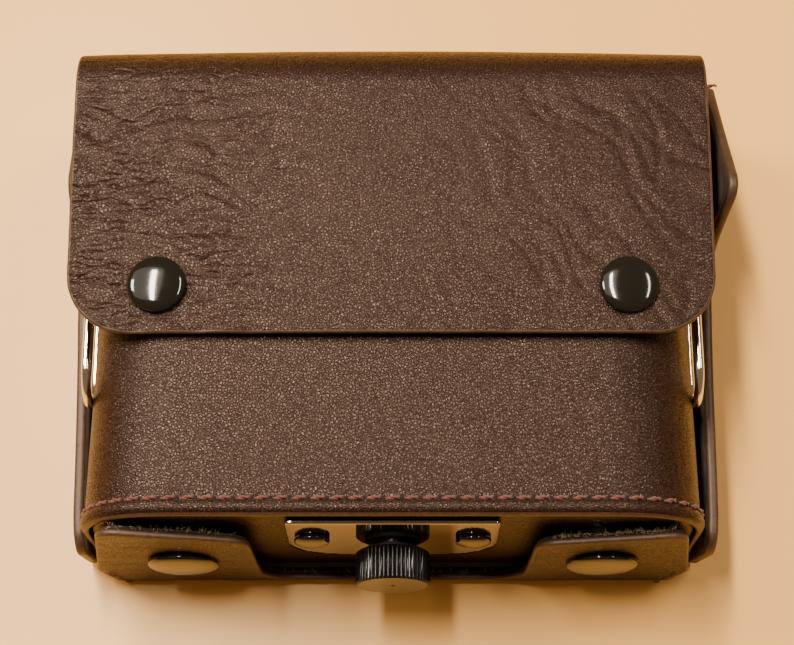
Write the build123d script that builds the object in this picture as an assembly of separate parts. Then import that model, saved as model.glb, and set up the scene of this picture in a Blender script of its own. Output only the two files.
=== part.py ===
from build123d import *
import math
import os

# Closed leather camera case lying on its back.
# +X is to the right, +Y towards the top fold, +Z out of the front panel.
# The origin is the centre of the back panel's outer face. Sizes are in millimetres.

# Sheet materials
leather = 1.6
lining = 0.9
board = 0.9
back_lining_thickness = 0.6

# Front half, with its base and side walls
body_width = 140.0
body_height = 100.0
body_depth = 52.4
corner_radius = 22.0
seam_flange = 8.0

# Back shell
top_room = 18.5
wing_gap_low = 2.5
wing_gap_high = 6.0
wing_leather = 1.8
wing_lean = 5.0
wing_start = 3.0
wing_corner = 4.0
ear_rise = 21.0
ear_length = 47.0
ear_slope = 10.0
ear_end_rise = 3.5
ear_hollow = 8.0
ear_nose = 5.0
back_lip = 0.3
back_corner = 3.0
fold_gap = 0.3

# Flaps
flap_gap = 1.6
flap_side_gap = 1.0
flap_length = 63.7
flap_corner = 15.0
roll_radius = 12.5
bottom_flap_width = 135.0
bottom_flap_setback = 7.4
bottom_flap_corner = 4.0
notch_width = 64.0
notch_floor = 5.0
notch_corner = 7.0

# Snap fasteners
cap_radius = 6.9
cap_height = 2.7
bottom_cap_radius = 8.5
bottom_cap_height = 2.5
cap_rim = 0.7
cap_post = 2.0
socket_radius = 5.5
socket_depth = 1.9
socket_floor = 0.4
cavity_radius = 3.5
spring_width = 0.35
spring_height = 0.4
stud_flange_radius = 4.5
stud_flange = 0.5
nub_radius = 2.6
nub_neck = 2.2
nub_room = 0.3
eyelet_radius = 1.6
eyelet_flange_radius = 4.0
eyelet_flange = 0.6
flap_snap_side = 20.2
flap_snap_edge = 11.6
bottom_snap_side = 18.0
bottom_snap_edge = 20.0

# Retaining plate and captive screw on the base
plate_width = 49.0
plate_height = 30.5
plate_setback = 2.9
plate_corner = 12.0
plate_thickness = 1.2
rivet_radius = 4.15
rivet_height = 2.2
rivet_shank = 1.5
rivet_spread = 37.4
rivet_drop = 13.0
rivet_washer_radius = 3.5
rivet_washer = 0.8
stud_radius = 3.175
screw_rise = 9.5
screw_hole_gap = 0.35
washer_bore_gap = 0.08
washer_radius = 6.5
washer_thickness = 0.8
washer_plate_gap = 0.8
knob_radius = 8.75
knob_length = 8.0
knob_chamfer = 0.5
flute_count = 52
flute_depth = 0.45
pip_radius = 0.6
pip_depth = 0.4
stud_reach = 6.0
clip_radius = 5.0
clip_thickness = 0.8
clip_groove = 0.6
clip_float = 1.5

# Strap rings and the leather chapes that hold them
wire_radius = 1.1
ring_width = 17.0
ring_length = 31.5
ring_corner = 3.0
ring_drop = 14.9
ring_hinge_height = 60.5
wing_ring_gap = 2.0
ear_ring_gap = 9.5
chape_width = 8.0
chape_bore_gap = 0.08
chape_wall = 0.8
chape_tab = 17.5
chape_tab_width = 13.0
chape_tab_corner = 4.0
chape_rivet_radius = 3.2
chape_rivet_height = 1.4
chape_rivet_place = 10.5

# Levels and places worked out from the sizes above
sheet = leather + lining
base_reach = flap_gap + sheet
back_height = body_height + top_room + base_reach
fold_top = back_height / 2
fold_bottom = -back_height / 2
base_y = fold_bottom + base_reach
open_y = base_y + body_height
half_width = body_width / 2
back_level = leather + board
flap_under = body_depth + flap_gap
flap_face = flap_under + sheet
flap_hinge_y = fold_top - roll_radius
flap_half = half_width + wing_gap_high - flap_side_gap
flap_edge = flap_hinge_y - flap_length
wing_thickness = wing_leather + lining
bottom_edge = body_depth - bottom_flap_setback
snap_gap = sheet + flap_gap
plate_top = body_depth - plate_setback
plate_bottom = plate_top - plate_height
screw_z = plate_bottom + screw_rise
ring_z = body_depth - ring_drop
ring_x = half_width + wire_radius + chape_bore_gap + chape_wall
ring_hinge_y = base_y + ring_hinge_height
wing_edge = ring_z - ring_width / 2 - wing_ring_gap
flap_snap_x = flap_half - flap_snap_side
flap_snap_y = flap_edge + flap_snap_edge
bottom_snap_x = bottom_flap_width / 2 - bottom_snap_side
bottom_snap_z = bottom_edge - bottom_snap_edge


def block(x_low, x_high, y_low, y_high, z_low, z_high):
    """Box between two opposite corners."""
    centre = ((x_low + x_high) / 2, (y_low + y_high) / 2, (z_low + z_high) / 2)
    return Pos(*centre) * Box(x_high - x_low, y_high - y_low, z_high - z_low)


def disc(radius, low, high):
    """Cylinder on the local Z axis between two heights."""
    return Pos(0, 0, (low + high) / 2) * Cylinder(radius, high - low)


def cut_sheet(corners, plane, thickness):
    """Sheet with an outline given as (across, along, corner radius)."""
    points = [(across, along) for across, along, _ in corners]
    radii = [radius for _, _, radius in corners]
    outline = FilletPolyline(*points, radius=radii, close=True)
    return extrude(plane * make_face(outline), thickness)


def both_sides(corners):
    """Closes an outline of right-hand corners with their mirror images."""
    return corners + [(-across, along, radius) for across, along, radius in reversed(corners)]


def level(z):
    """Plane parallel to the back panel, facing +Z."""
    return Plane.XY.offset(z)


def upright(x, y, z=0.0):
    """Plane parallel to the base, facing -Y, with its second direction up."""
    return Plane(origin=(x, y, z), x_dir=(1, 0, 0), z_dir=(0, -1, 0))


def dome(radius, height, rim):
    """Domed head that sits on the local plane z = 0."""
    crown = height - rim
    sphere_radius = (radius * radius + crown * crown) / (2 * crown)
    ball = Pos(0, 0, height - sphere_radius) * Sphere(sphere_radius)
    return ball & disc(radius, 0, height)


def body_arch(inset, y_low, y_high):
    """Front half's outer shape, inset by a wall, between two heights."""
    across = half_width - inset
    solid = block(-across, across, y_low, y_high, back_level, body_depth - inset)
    front_edges = solid.edges().filter_by(Axis.Y).group_by(Axis.Z)[-1]
    return fillet(front_edges, corner_radius - inset)


def body_surface(across, inset):
    """Height of the front half's surface at a place across its width."""
    past = max(0.0, abs(across) - (half_width - corner_radius))
    radius = corner_radius - inset
    return body_depth - corner_radius + math.sqrt(radius * radius - past * past)


# Back shell

def back_outline():
    """Outline of the back panel, cut back where the two folds are."""
    flap_side = bottom_flap_width / 2 + fold_gap
    low_half = half_width + wing_gap_low + wing_thickness + back_lip
    high_half = half_width + wing_gap_high + wing_thickness + back_lip
    bottom_cut = base_y - flap_gap + fold_gap
    top_cut = fold_top - sheet - fold_gap
    return both_sides([
        (flap_side, bottom_cut, 0),
        (flap_side, fold_bottom, 0),
        (flap_side + back_corner, fold_bottom, 0),
        (low_half, base_y - wing_start, back_corner),
        (high_half, fold_top, back_corner),
        (flap_half + fold_gap, fold_top, 0),
        (flap_half + fold_gap, top_cut, 0),
    ])


def back_panel():
    return cut_sheet(back_outline(), level(0), leather)


def back_board():
    return cut_sheet(back_outline(), level(leather), board)


def back_lining():
    across = half_width - 2 * leather - fold_gap
    low = base_y + sheet + fold_gap
    high = fold_top - sheet - fold_gap
    return block(-across, across, low, high, back_level, back_level + back_lining_thickness)


def wing_layer(inner, outer):
    """One layer of the right side wing, between two depths from its inner face."""
    low = Vector(half_width + wing_gap_low, base_y, back_level)
    high = Vector(half_width + wing_gap_high, fold_top, back_level)
    along = (high - low).normalized()
    lean = math.radians(wing_lean)
    up = Vector(math.sin(lean), 0, math.cos(lean))
    outward = along.cross(up).normalized()
    length = (high - low).length
    ear_start = ring_hinge_height + ear_ring_gap
    edge = (wing_edge - back_level) / math.cos(lean)
    corners = [
        (-wing_start, -wing_corner, 0),
        (-wing_start, edge, wing_corner),
        (ear_start, edge, ear_hollow),
        (ear_start + ear_slope, edge + ear_rise, ear_nose),
        (length, edge + ear_end_rise, 0),
        (length, -wing_corner, 0),
    ]
    plane = Plane(origin=low + outward * inner, x_dir=along, z_dir=outward)
    slab = cut_sheet(corners, plane, outer - inner)
    above_back = block(0, body_width, 2 * fold_bottom, fold_top, back_level, 2 * body_depth)
    return slab & above_back


def wing():
    return wing_layer(lining, wing_thickness)


def wing_lining():
    return wing_layer(0, lining)


# Front half

def flap_snap_place(inset):
    return Pos(flap_snap_x, flap_snap_y, flap_face - inset)


def bottom_snap_place(inset):
    return upright(bottom_snap_x, fold_bottom + inset, bottom_snap_z).location


def mirrored(solid):
    return mirror(solid, about=Plane.YZ)


def through_holes(solid, place, radius):
    """Drills one hole on each side, along the axis of a snap."""
    drill = place * disc(radius, -body_depth, body_depth)
    return solid - drill - mirrored(drill)


def front_flap_drill():
    """Snap hole through the front panel, stopping inside the case."""
    return flap_snap_place(0) * disc(eyelet_radius, -body_depth / 2, 0)


def side_rivet_place(out):
    """Place of the chape rivet, square to the curved side, a distance out from its leather."""
    rise = max(0.0, ring_z - (body_depth - corner_radius))
    angle = math.asin(rise / corner_radius)
    reach = corner_radius + out
    x = half_width - corner_radius + reach * math.cos(angle)
    z = ring_z - rise + reach * math.sin(angle)
    facing = (math.cos(angle), 0, math.sin(angle))
    y = ring_hinge_y + chape_rivet_place
    return Plane(origin=(x, y, z), x_dir=(0, 1, 0), z_dir=facing).location


def side_drill():
    """Rivet hole through one side wall."""
    return side_rivet_place(0) * disc(rivet_shank, -2 * sheet, leather)


def front_holes(solid):
    drills = front_flap_drill() + side_drill()
    return solid - drills - mirrored(drills)


def front_wall():
    shell = body_arch(0, base_y, open_y) - body_arch(leather, base_y, open_y)
    return front_holes(shell)


def front_lining():
    low = base_y + seam_flange
    shell = body_arch(leather, low, open_y) - body_arch(sheet, low, open_y)
    return front_holes(shell)


def base_holes(solid):
    """Holes through the base for the screw, the plate rivets and the snap studs."""
    screw = upright(0, base_y, screw_z).location * disc(stud_radius + screw_hole_gap, -sheet, 0)
    rivets = [rivet_place(side, 0) * disc(rivet_shank, -sheet, 0) for side in (-1, 1)]
    solid = solid - screw - rivets[0] - rivets[1]
    return through_holes(solid, bottom_snap_place(0), eyelet_radius)


def base_panel():
    tray = body_arch(leather, base_y, base_y + seam_flange)
    hollow = body_arch(2 * leather, base_y + leather, base_y + seam_flange)
    return base_holes(tray - hollow)


def base_lining():
    return base_holes(body_arch(2 * leather, base_y + leather, base_y + sheet))


# Retaining plate, rivets and captive screw

def rivet_place(side, out):
    """Place of a plate rivet, a distance out from the base's outer face."""
    z = plate_top - rivet_drop
    return upright(side * rivet_spread / 2, base_y - out, z).location


def retaining_plate():
    across = plate_width / 2
    outline = both_sides([(across, plate_top, 1.0), (across, plate_bottom, plate_corner)])
    solid = cut_sheet(outline, upright(0, base_y), plate_thickness)
    hole = upright(0, base_y, screw_z).location * disc(stud_radius + screw_hole_gap, 0, plate_thickness)
    rivets = [rivet_place(side, 0) * disc(rivet_shank, 0, plate_thickness) for side in (-1, 1)]
    return solid - hole - rivets[0] - rivets[1]


def plate_rivet(side):
    shank = disc(rivet_shank, -plate_thickness - sheet - rivet_washer, 0)
    return rivet_place(side, plate_thickness) * (dome(rivet_radius, rivet_height, cap_rim) + shank)


def plate_rivet_washer(side):
    ring = disc(rivet_washer_radius, -rivet_washer, 0) - disc(rivet_shank, -rivet_washer, 0)
    return rivet_place(side, -sheet) * ring


def screw_place(out):
    return upright(0, base_y - out, screw_z).location


def screw_washer():
    ring = disc(washer_radius, 0, washer_thickness)
    bore = disc(stud_radius + washer_bore_gap, 0, washer_thickness)
    return screw_place(plate_thickness + washer_plate_gap) * (ring - bore)


def knob_inner_face():
    return plate_thickness + washer_plate_gap + washer_thickness


def retaining_knob():
    barrel = disc(knob_radius, 0, knob_length)
    barrel = chamfer(barrel.edges().filter_by(GeomType.CIRCLE), knob_chamfer)
    half_flute = math.pi * knob_radius / flute_count * 0.55
    tip = knob_radius - flute_depth
    flute = make_face(Polyline((tip, 0), (knob_radius + flute_depth, half_flute * 2),
                               (knob_radius + flute_depth, -half_flute * 2), close=True))
    cutter = extrude(flute, knob_length)
    barrel = barrel - [Rot(0, 0, index * 360 / flute_count) * cutter for index in range(flute_count)]
    bore = disc(stud_radius, 0, knob_length / 2)
    pip = disc(pip_radius, knob_length - pip_depth, knob_length)
    return screw_place(knob_inner_face()) * (barrel - bore - pip)


def clip_low():
    """Distance of the clip's outer side behind the base's outer face."""
    return sheet + clip_float


def retaining_stud():
    knob_end = knob_inner_face() + knob_length / 2
    shaft = disc(stud_radius, -sheet - stud_reach, knob_end)
    shaft = chamfer(shaft.edges().filter_by(GeomType.CIRCLE).group_by(Axis.Z)[0], clip_groove)
    ring = disc(stud_radius, -clip_low() - clip_thickness, -clip_low())
    groove = ring - disc(stud_radius - clip_groove, -clip_low() - clip_thickness, -clip_low())
    return screw_place(0) * (shaft - groove)


def retaining_clip():
    ring = disc(clip_radius, -clip_low() - clip_thickness, -clip_low())
    bore = disc(stud_radius - clip_groove, -clip_low() - clip_thickness, -clip_low())
    return screw_place(0) * (ring - bore)


# Snap fasteners: every height is measured out from the flap's outer leather face

def snap_cap(radius, height):
    return dome(radius, height, cap_rim) + disc(cap_post, -leather, 0)


def snap_socket():
    low = -leather - socket_depth
    cup = disc(socket_radius, low, -leather) - disc(cavity_radius, low, -leather - socket_floor)
    return cup


def snap_spring():
    middle = -leather - (socket_depth + socket_floor) / 2
    low = middle - spring_height / 2
    high = middle + spring_height / 2
    return disc(cavity_radius, low, high) - disc(cavity_radius - spring_width, low, high)


def snap_nub():
    low = -snap_gap + stud_flange
    high = -leather - socket_floor - nub_room
    shoulder = (low + high) / 2
    return disc(nub_neck, low, shoulder) + disc(nub_radius, shoulder, high)


def base_snap_stud():
    flange = disc(stud_flange_radius, -snap_gap, -snap_gap + stud_flange)
    return bottom_snap_place(0) * (flange + snap_nub())


def base_snap_eyelet():
    inner = -snap_gap - sheet
    barrel = disc(eyelet_radius, inner, -snap_gap)
    return bottom_snap_place(0) * (barrel + disc(eyelet_flange_radius, inner - eyelet_flange, inner))


def front_snap_stud():
    low = body_surface(flap_snap_x + stud_flange_radius, 0) - flap_face - stud_flange
    seat = flap_snap_place(0) * disc(stud_flange_radius, low, -snap_gap + stud_flange)
    seat = seat - body_arch(0, base_y, open_y)
    return seat + flap_snap_place(0) * snap_nub()


def front_snap_eyelet():
    outer = body_surface(flap_snap_x, 0)
    inner = body_surface(flap_snap_x + eyelet_flange_radius, sheet) - eyelet_flange
    flange = disc(eyelet_flange_radius, inner - flap_face, 0)
    flange = flap_snap_place(0) * flange & body_arch(sheet, base_y, open_y)
    barrel = flap_snap_place(0) * disc(eyelet_radius, inner - flap_face, outer + 1 - flap_face)
    barrel = barrel & body_arch(0, base_y, open_y)
    return flange + barrel


# Flaps

def roll_layer(inner, outer):
    """Layer of the top strap: upright part and quarter roll, between two depths."""
    centre_y = flap_hinge_y
    centre_z = flap_face - roll_radius
    radius_out = roll_radius - outer
    radius_in = roll_radius - inner
    upright_part = block(-flap_half, flap_half, fold_top - inner, fold_top - outer, 0, centre_z)
    tube = Cylinder(radius_out, 2 * flap_half) - Cylinder(radius_in, 2 * flap_half)
    tube = Pos(0, centre_y, centre_z) * Rot(0, 90, 0) * tube
    quarter = block(-flap_half, flap_half, centre_y, fold_top, centre_z, flap_face)
    return upright_part + (tube & quarter)


def top_strap():
    return roll_layer(leather, 0)


def top_strap_lining():
    return roll_layer(sheet, leather)


def front_flap_sheet(low, high):
    corners = both_sides([(flap_half, flap_edge, flap_corner), (flap_half, flap_hinge_y, 0)])
    return cut_sheet(corners, level(low), high - low)


def front_flap():
    solid = front_flap_sheet(flap_under + lining, flap_face)
    return through_holes(solid, flap_snap_place(0), cap_post)


def front_flap_lining():
    solid = front_flap_sheet(flap_under, flap_under + lining)
    return through_holes(solid, flap_snap_place(0), socket_radius)


def bottom_flap_sheet(near, far):
    """Bottom flap between two distances out from the base's outer face."""
    across = bottom_flap_width / 2
    notch = notch_width / 2
    corners = both_sides([
        (notch, notch_floor, notch_corner),
        (notch, bottom_edge, notch_corner),
        (across, bottom_edge, bottom_flap_corner),
        (across, 0, 0),
    ])
    return cut_sheet(corners, upright(0, base_y - near), far - near)


def bottom_flap():
    solid = bottom_flap_sheet(flap_gap + lining, flap_gap + sheet)
    return through_holes(solid, bottom_snap_place(0), cap_post)


def bottom_flap_lining():
    solid = bottom_flap_sheet(flap_gap, flap_gap + lining)
    return through_holes(solid, bottom_snap_place(0), socket_radius)


# Strap rings

def ring_path():
    """Centre line of a ring in its own plane: across is Z, along is Y."""
    across = ring_width / 2 - wire_radius
    along = ring_length - 2 * wire_radius
    corners = [(0, 0), (across, 0), (across, along), (-across, along), (-across, 0)]
    free_end = across - 0.01
    return FilletPolyline(*corners, radius=[0, ring_corner, free_end, free_end, ring_corner], close=True)


def strap_ring():
    plane = Plane(origin=(ring_x, ring_hinge_y, ring_z), x_dir=(0, 0, 1), z_dir=(1, 0, 0))
    path = plane * ring_path()
    section = Plane(origin=(ring_x, ring_hinge_y, ring_z), z_dir=(0, 0, 1)) * Circle(wire_radius)
    return sweep(section, path=path)


def ring_chape():
    """Leather tab that follows the curved side and wraps round the ring's straight bar."""
    bore = wire_radius + chape_bore_gap
    loop_radius = bore + chape_wall
    hinge = Pos(ring_x, ring_hinge_y, ring_z)
    loop = hinge * Cylinder(loop_radius, chape_width)
    neck_low = ring_z - chape_width / 2
    neck_high = ring_z + chape_width / 2
    neck = block(0, ring_x, ring_hinge_y - loop_radius, ring_hinge_y + loop_radius, neck_low, neck_high)
    half_tab = chape_tab_width / 2
    outline = cut_sheet([
        (0, -chape_width / 2, 0),
        (loop_radius, -chape_width / 2, 0),
        (half_tab, -half_tab, 2.0),
        (chape_tab, -half_tab, chape_tab_corner),
        (chape_tab, half_tab, chape_tab_corner),
        (half_tab, half_tab, 2.0),
        (loop_radius, chape_width / 2, 0),
        (0, chape_width / 2, 0),
    ], Plane(origin=(0, ring_hinge_y, ring_z), x_dir=(0, 1, 0), z_dir=(1, 0, 0)), body_width)
    tab = outline & body_arch(-leather, base_y, open_y)
    hole = side_rivet_place(0) * disc(rivet_shank, -leather, 2 * leather)
    return loop + neck + tab - hinge * Cylinder(bore, chape_width) - body_arch(0, base_y, open_y) - hole


def chape_washer_seat():
    """Depth below the outer leather at which a flat washer meets the curved lining."""
    inner = corner_radius - sheet
    return corner_radius - math.sqrt(inner * inner - rivet_washer_radius * rivet_washer_radius)


def chape_rivet():
    shank = disc(rivet_shank, -leather - chape_washer_seat() - rivet_washer, 0)
    head = dome(chape_rivet_radius, chape_rivet_height, cap_rim / 2)
    return side_rivet_place(leather) * (head + shank)


def chape_washer():
    ring = disc(rivet_washer_radius, -rivet_washer, 0) - disc(rivet_shank, -rivet_washer, 0)
    return side_rivet_place(-chape_washer_seat()) * ring


def save(name, solid):
    export_step(solid, os.path.join("parts", name + ".step"))


def save_pair(name, right_solid):
    save(name + "_right", right_solid)
    save(name + "_left", mirrored(right_solid))


os.makedirs("parts", exist_ok=True)

save("back_panel", back_panel())
save("back_board", back_board())
save("back_lining", back_lining())
save_pair("wing", wing())
save_pair("wing_lining", wing_lining())

save("front_wall", front_wall())
save("front_lining", front_lining())
save("base_panel", base_panel())
save("base_lining", base_lining())

save("retaining_plate", retaining_plate())
save_pair("plate_rivet", plate_rivet(1))
save_pair("plate_rivet_washer", plate_rivet_washer(1))
save("screw_washer", screw_washer())
save("retaining_knob", retaining_knob())
save("retaining_stud", retaining_stud())
save("retaining_clip", retaining_clip())

save("top_strap", top_strap())
save("top_strap_lining", top_strap_lining())
save("front_flap", front_flap())
save("front_flap_lining", front_flap_lining())
save_pair("flap_snap_cap", flap_snap_place(0) * snap_cap(cap_radius, cap_height))
save_pair("flap_snap_socket", flap_snap_place(0) * snap_socket())
save_pair("flap_snap_spring", flap_snap_place(0) * snap_spring())
save_pair("front_snap_stud", front_snap_stud())
save_pair("front_snap_eyelet", front_snap_eyelet())

save("bottom_flap", bottom_flap())
save("bottom_flap_lining", bottom_flap_lining())
save_pair("bottom_snap_cap", bottom_snap_place(0) * snap_cap(bottom_cap_radius, bottom_cap_height))
save_pair("bottom_snap_socket", bottom_snap_place(0) * snap_socket())
save_pair("bottom_snap_spring", bottom_snap_place(0) * snap_spring())
save_pair("base_snap_stud", base_snap_stud())
save_pair("base_snap_eyelet", base_snap_eyelet())

save_pair("strap_ring", strap_ring())
save_pair("ring_chape", ring_chape())
save_pair("chape_rivet", chape_rivet())
save_pair("chape_washer", chape_washer())
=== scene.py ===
import math
import random

import bpy
import numpy as np
from mathutils import Matrix, Vector, geometry, noise


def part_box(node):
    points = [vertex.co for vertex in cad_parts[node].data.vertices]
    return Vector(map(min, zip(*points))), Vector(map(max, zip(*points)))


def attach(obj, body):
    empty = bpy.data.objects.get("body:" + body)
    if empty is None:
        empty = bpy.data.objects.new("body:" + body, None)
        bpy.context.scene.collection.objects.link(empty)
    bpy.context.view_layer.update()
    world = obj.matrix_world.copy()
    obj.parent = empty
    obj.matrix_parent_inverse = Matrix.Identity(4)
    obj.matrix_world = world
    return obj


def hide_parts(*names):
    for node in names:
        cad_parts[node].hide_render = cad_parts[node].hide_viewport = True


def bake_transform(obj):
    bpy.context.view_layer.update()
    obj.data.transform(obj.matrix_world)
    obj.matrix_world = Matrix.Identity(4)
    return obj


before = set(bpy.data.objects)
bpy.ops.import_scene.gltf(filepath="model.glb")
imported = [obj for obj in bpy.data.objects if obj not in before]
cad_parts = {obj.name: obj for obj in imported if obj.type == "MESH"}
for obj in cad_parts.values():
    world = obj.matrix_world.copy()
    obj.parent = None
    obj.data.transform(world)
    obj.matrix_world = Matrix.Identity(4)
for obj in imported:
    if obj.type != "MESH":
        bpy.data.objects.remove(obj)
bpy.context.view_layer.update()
mm = 0.001

# places that every piece is worked out from
wallLow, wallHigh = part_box("front_wall")
halfWidth, bodyTop, backLevel = wallHigh.x, wallHigh.z, wallLow.z
baseY, openY = wallLow.y, wallHigh.y
flapLow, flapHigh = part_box("front_flap")
flapHalf, flapEdgeY, flapHingeY, flapFace = flapHigh.x, flapLow.y, flapHigh.y, flapHigh.z
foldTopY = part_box("top_strap")[1].y
rollRadius = foldTopY - flapHingeY
bottomLow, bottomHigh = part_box("bottom_flap")
foldBottomY, bottomEdgeZ, bottomHalf = bottomLow.y, bottomHigh.z, bottomHigh.x
leather = flapHigh.z - flapLow.z
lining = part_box("front_flap_lining")[1].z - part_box("front_flap_lining")[0].z
sheetThickness = leather + lining


# ---- materials ----

def newMaterial(name):
    material = bpy.data.materials.new(name)
    material.use_nodes = True
    shader = material.node_tree.nodes["Principled BSDF"]
    return material, material.node_tree, shader


def addNode(tree, kind, **settings):
    node = tree.nodes.new(kind)
    for key, value in settings.items():
        setattr(node, key, value)
    return node


def objectCoords(tree, scale=(1, 1, 1), turn=(0, 0, 0)):
    coords = addNode(tree, "ShaderNodeTexCoord")
    mapping = addNode(tree, "ShaderNodeMapping")
    mapping.inputs["Scale"].default_value = scale
    mapping.inputs["Rotation"].default_value = turn
    tree.links.new(coords.outputs["Object"], mapping.inputs["Vector"])
    return mapping.outputs["Vector"]


def noiseOn(tree, vector, scale, detail=2.0, roughness=0.5, distortion=0.0):
    node = addNode(tree, "ShaderNodeTexNoise")
    node.inputs["Scale"].default_value = scale
    node.inputs["Detail"].default_value = detail
    node.inputs["Roughness"].default_value = roughness
    node.inputs["Distortion"].default_value = distortion
    tree.links.new(vector, node.inputs["Vector"])
    return node.outputs["Fac"]


def ramp(tree, value, stops):
    node = addNode(tree, "ShaderNodeValToRGB")
    elements = node.color_ramp.elements
    while len(elements) < len(stops):
        elements.new(0.5)
    for element, (position, colour) in zip(elements, stops):
        element.position = position
        element.color = (*colour, 1) if len(colour) == 3 else colour
    tree.links.new(value, node.inputs["Fac"])
    return node.outputs["Color"]


def mathNode(tree, operation, first, second, third=None):
    node = addNode(tree, "ShaderNodeMath", operation=operation)
    for socket, value in zip(node.inputs, (first, second, third)):
        if value is None:
            continue
        if isinstance(value, (int, float)):
            socket.default_value = value
        else:
            tree.links.new(value, socket)
    return node.outputs["Value"]


def remap(tree, value, fromLow, fromHigh, toLow, toHigh):
    node = addNode(tree, "ShaderNodeMapRange")
    node.inputs["From Min"].default_value = fromLow
    node.inputs["From Max"].default_value = fromHigh
    node.inputs["To Min"].default_value = toLow
    node.inputs["To Max"].default_value = toHigh
    tree.links.new(value, node.inputs["Value"])
    return node.outputs["Result"]


def warped(tree, vector, scale, amount):
    node = addNode(tree, "ShaderNodeTexNoise")
    node.inputs["Scale"].default_value = scale
    node.inputs["Detail"].default_value = 2.0
    tree.links.new(vector, node.inputs["Vector"])
    centred = addNode(tree, "ShaderNodeVectorMath", operation="SUBTRACT")
    centred.inputs[1].default_value = (0.5, 0.5, 0.5)
    tree.links.new(node.outputs["Color"], centred.inputs[0])
    scaled = addNode(tree, "ShaderNodeVectorMath", operation="SCALE")
    scaled.inputs["Scale"].default_value = amount
    tree.links.new(centred.outputs["Vector"], scaled.inputs[0])
    added = addNode(tree, "ShaderNodeVectorMath", operation="ADD")
    tree.links.new(vector, added.inputs[0])
    tree.links.new(scaled.outputs["Vector"], added.inputs[1])
    return added.outputs["Vector"]


def bump(tree, height, shader, strength, distance, also=()):
    node = addNode(tree, "ShaderNodeBump")
    node.inputs["Strength"].default_value = strength
    node.inputs["Distance"].default_value = distance
    tree.links.new(height, node.inputs["Height"])
    tree.links.new(node.outputs["Normal"], shader.inputs["Normal"])
    for name in also:
        tree.links.new(node.outputs["Normal"], shader.inputs[name])


# grain colours: the valleys are painted darker as painted shade, the crests lighter as real wear and painted highlight
leatherLook = {
    "valleyShade": (0.0035, 0.0012, 0.0008),
    "top": (0.014, 0.0046, 0.0029),
    "wornAndGlint": (0.026, 0.0098, 0.0064),
    "grain": 0.70 * mm,
    "fineGrain": 0.40 * mm,
    "crease": 2.6 * mm,
    "creaseLength": 2.2,
    "grainHeight": 0.046 * mm,
    "roughness": 0.235,
    "gloss": 0.50,
    "sheenTint": (1.0, 0.73, 0.61),
}


def creaseLayer(tree, turn, low, high, depth):
    # a net of stretched creases that fades in from one side of the flap to the other
    places = warped(tree, objectCoords(tree), 260.0, 0.0022)
    mapping = addNode(tree, "ShaderNodeMapping")
    mapping.inputs["Rotation"].default_value = (0, 0, turn)
    mapping.inputs["Scale"].default_value = (1 / leatherLook["creaseLength"], 1, 1)
    tree.links.new(places, mapping.inputs["Vector"])
    cell = addNode(tree, "ShaderNodeTexVoronoi", feature="DISTANCE_TO_EDGE")
    cell.inputs["Scale"].default_value = 1.0 / leatherLook["crease"]
    tree.links.new(mapping.outputs["Vector"], cell.inputs["Vector"])
    groove = remap(tree, cell.outputs["Distance"], 0.0, 0.28, -depth, 0.0)
    split = addNode(tree, "ShaderNodeSeparateXYZ")
    tree.links.new(objectCoords(tree), split.inputs["Vector"])
    where = remap(tree, split.outputs["X"], low, high, 0.0, 1.0)
    patchy = remap(tree, noiseOn(tree, objectCoords(tree), 70.0, 2.0, 0.5), 0.38, 0.6, 0.45, 1.0)
    return mathNode(tree, "MULTIPLY", groove, mathNode(tree, "MULTIPLY", where, patchy))


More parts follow.
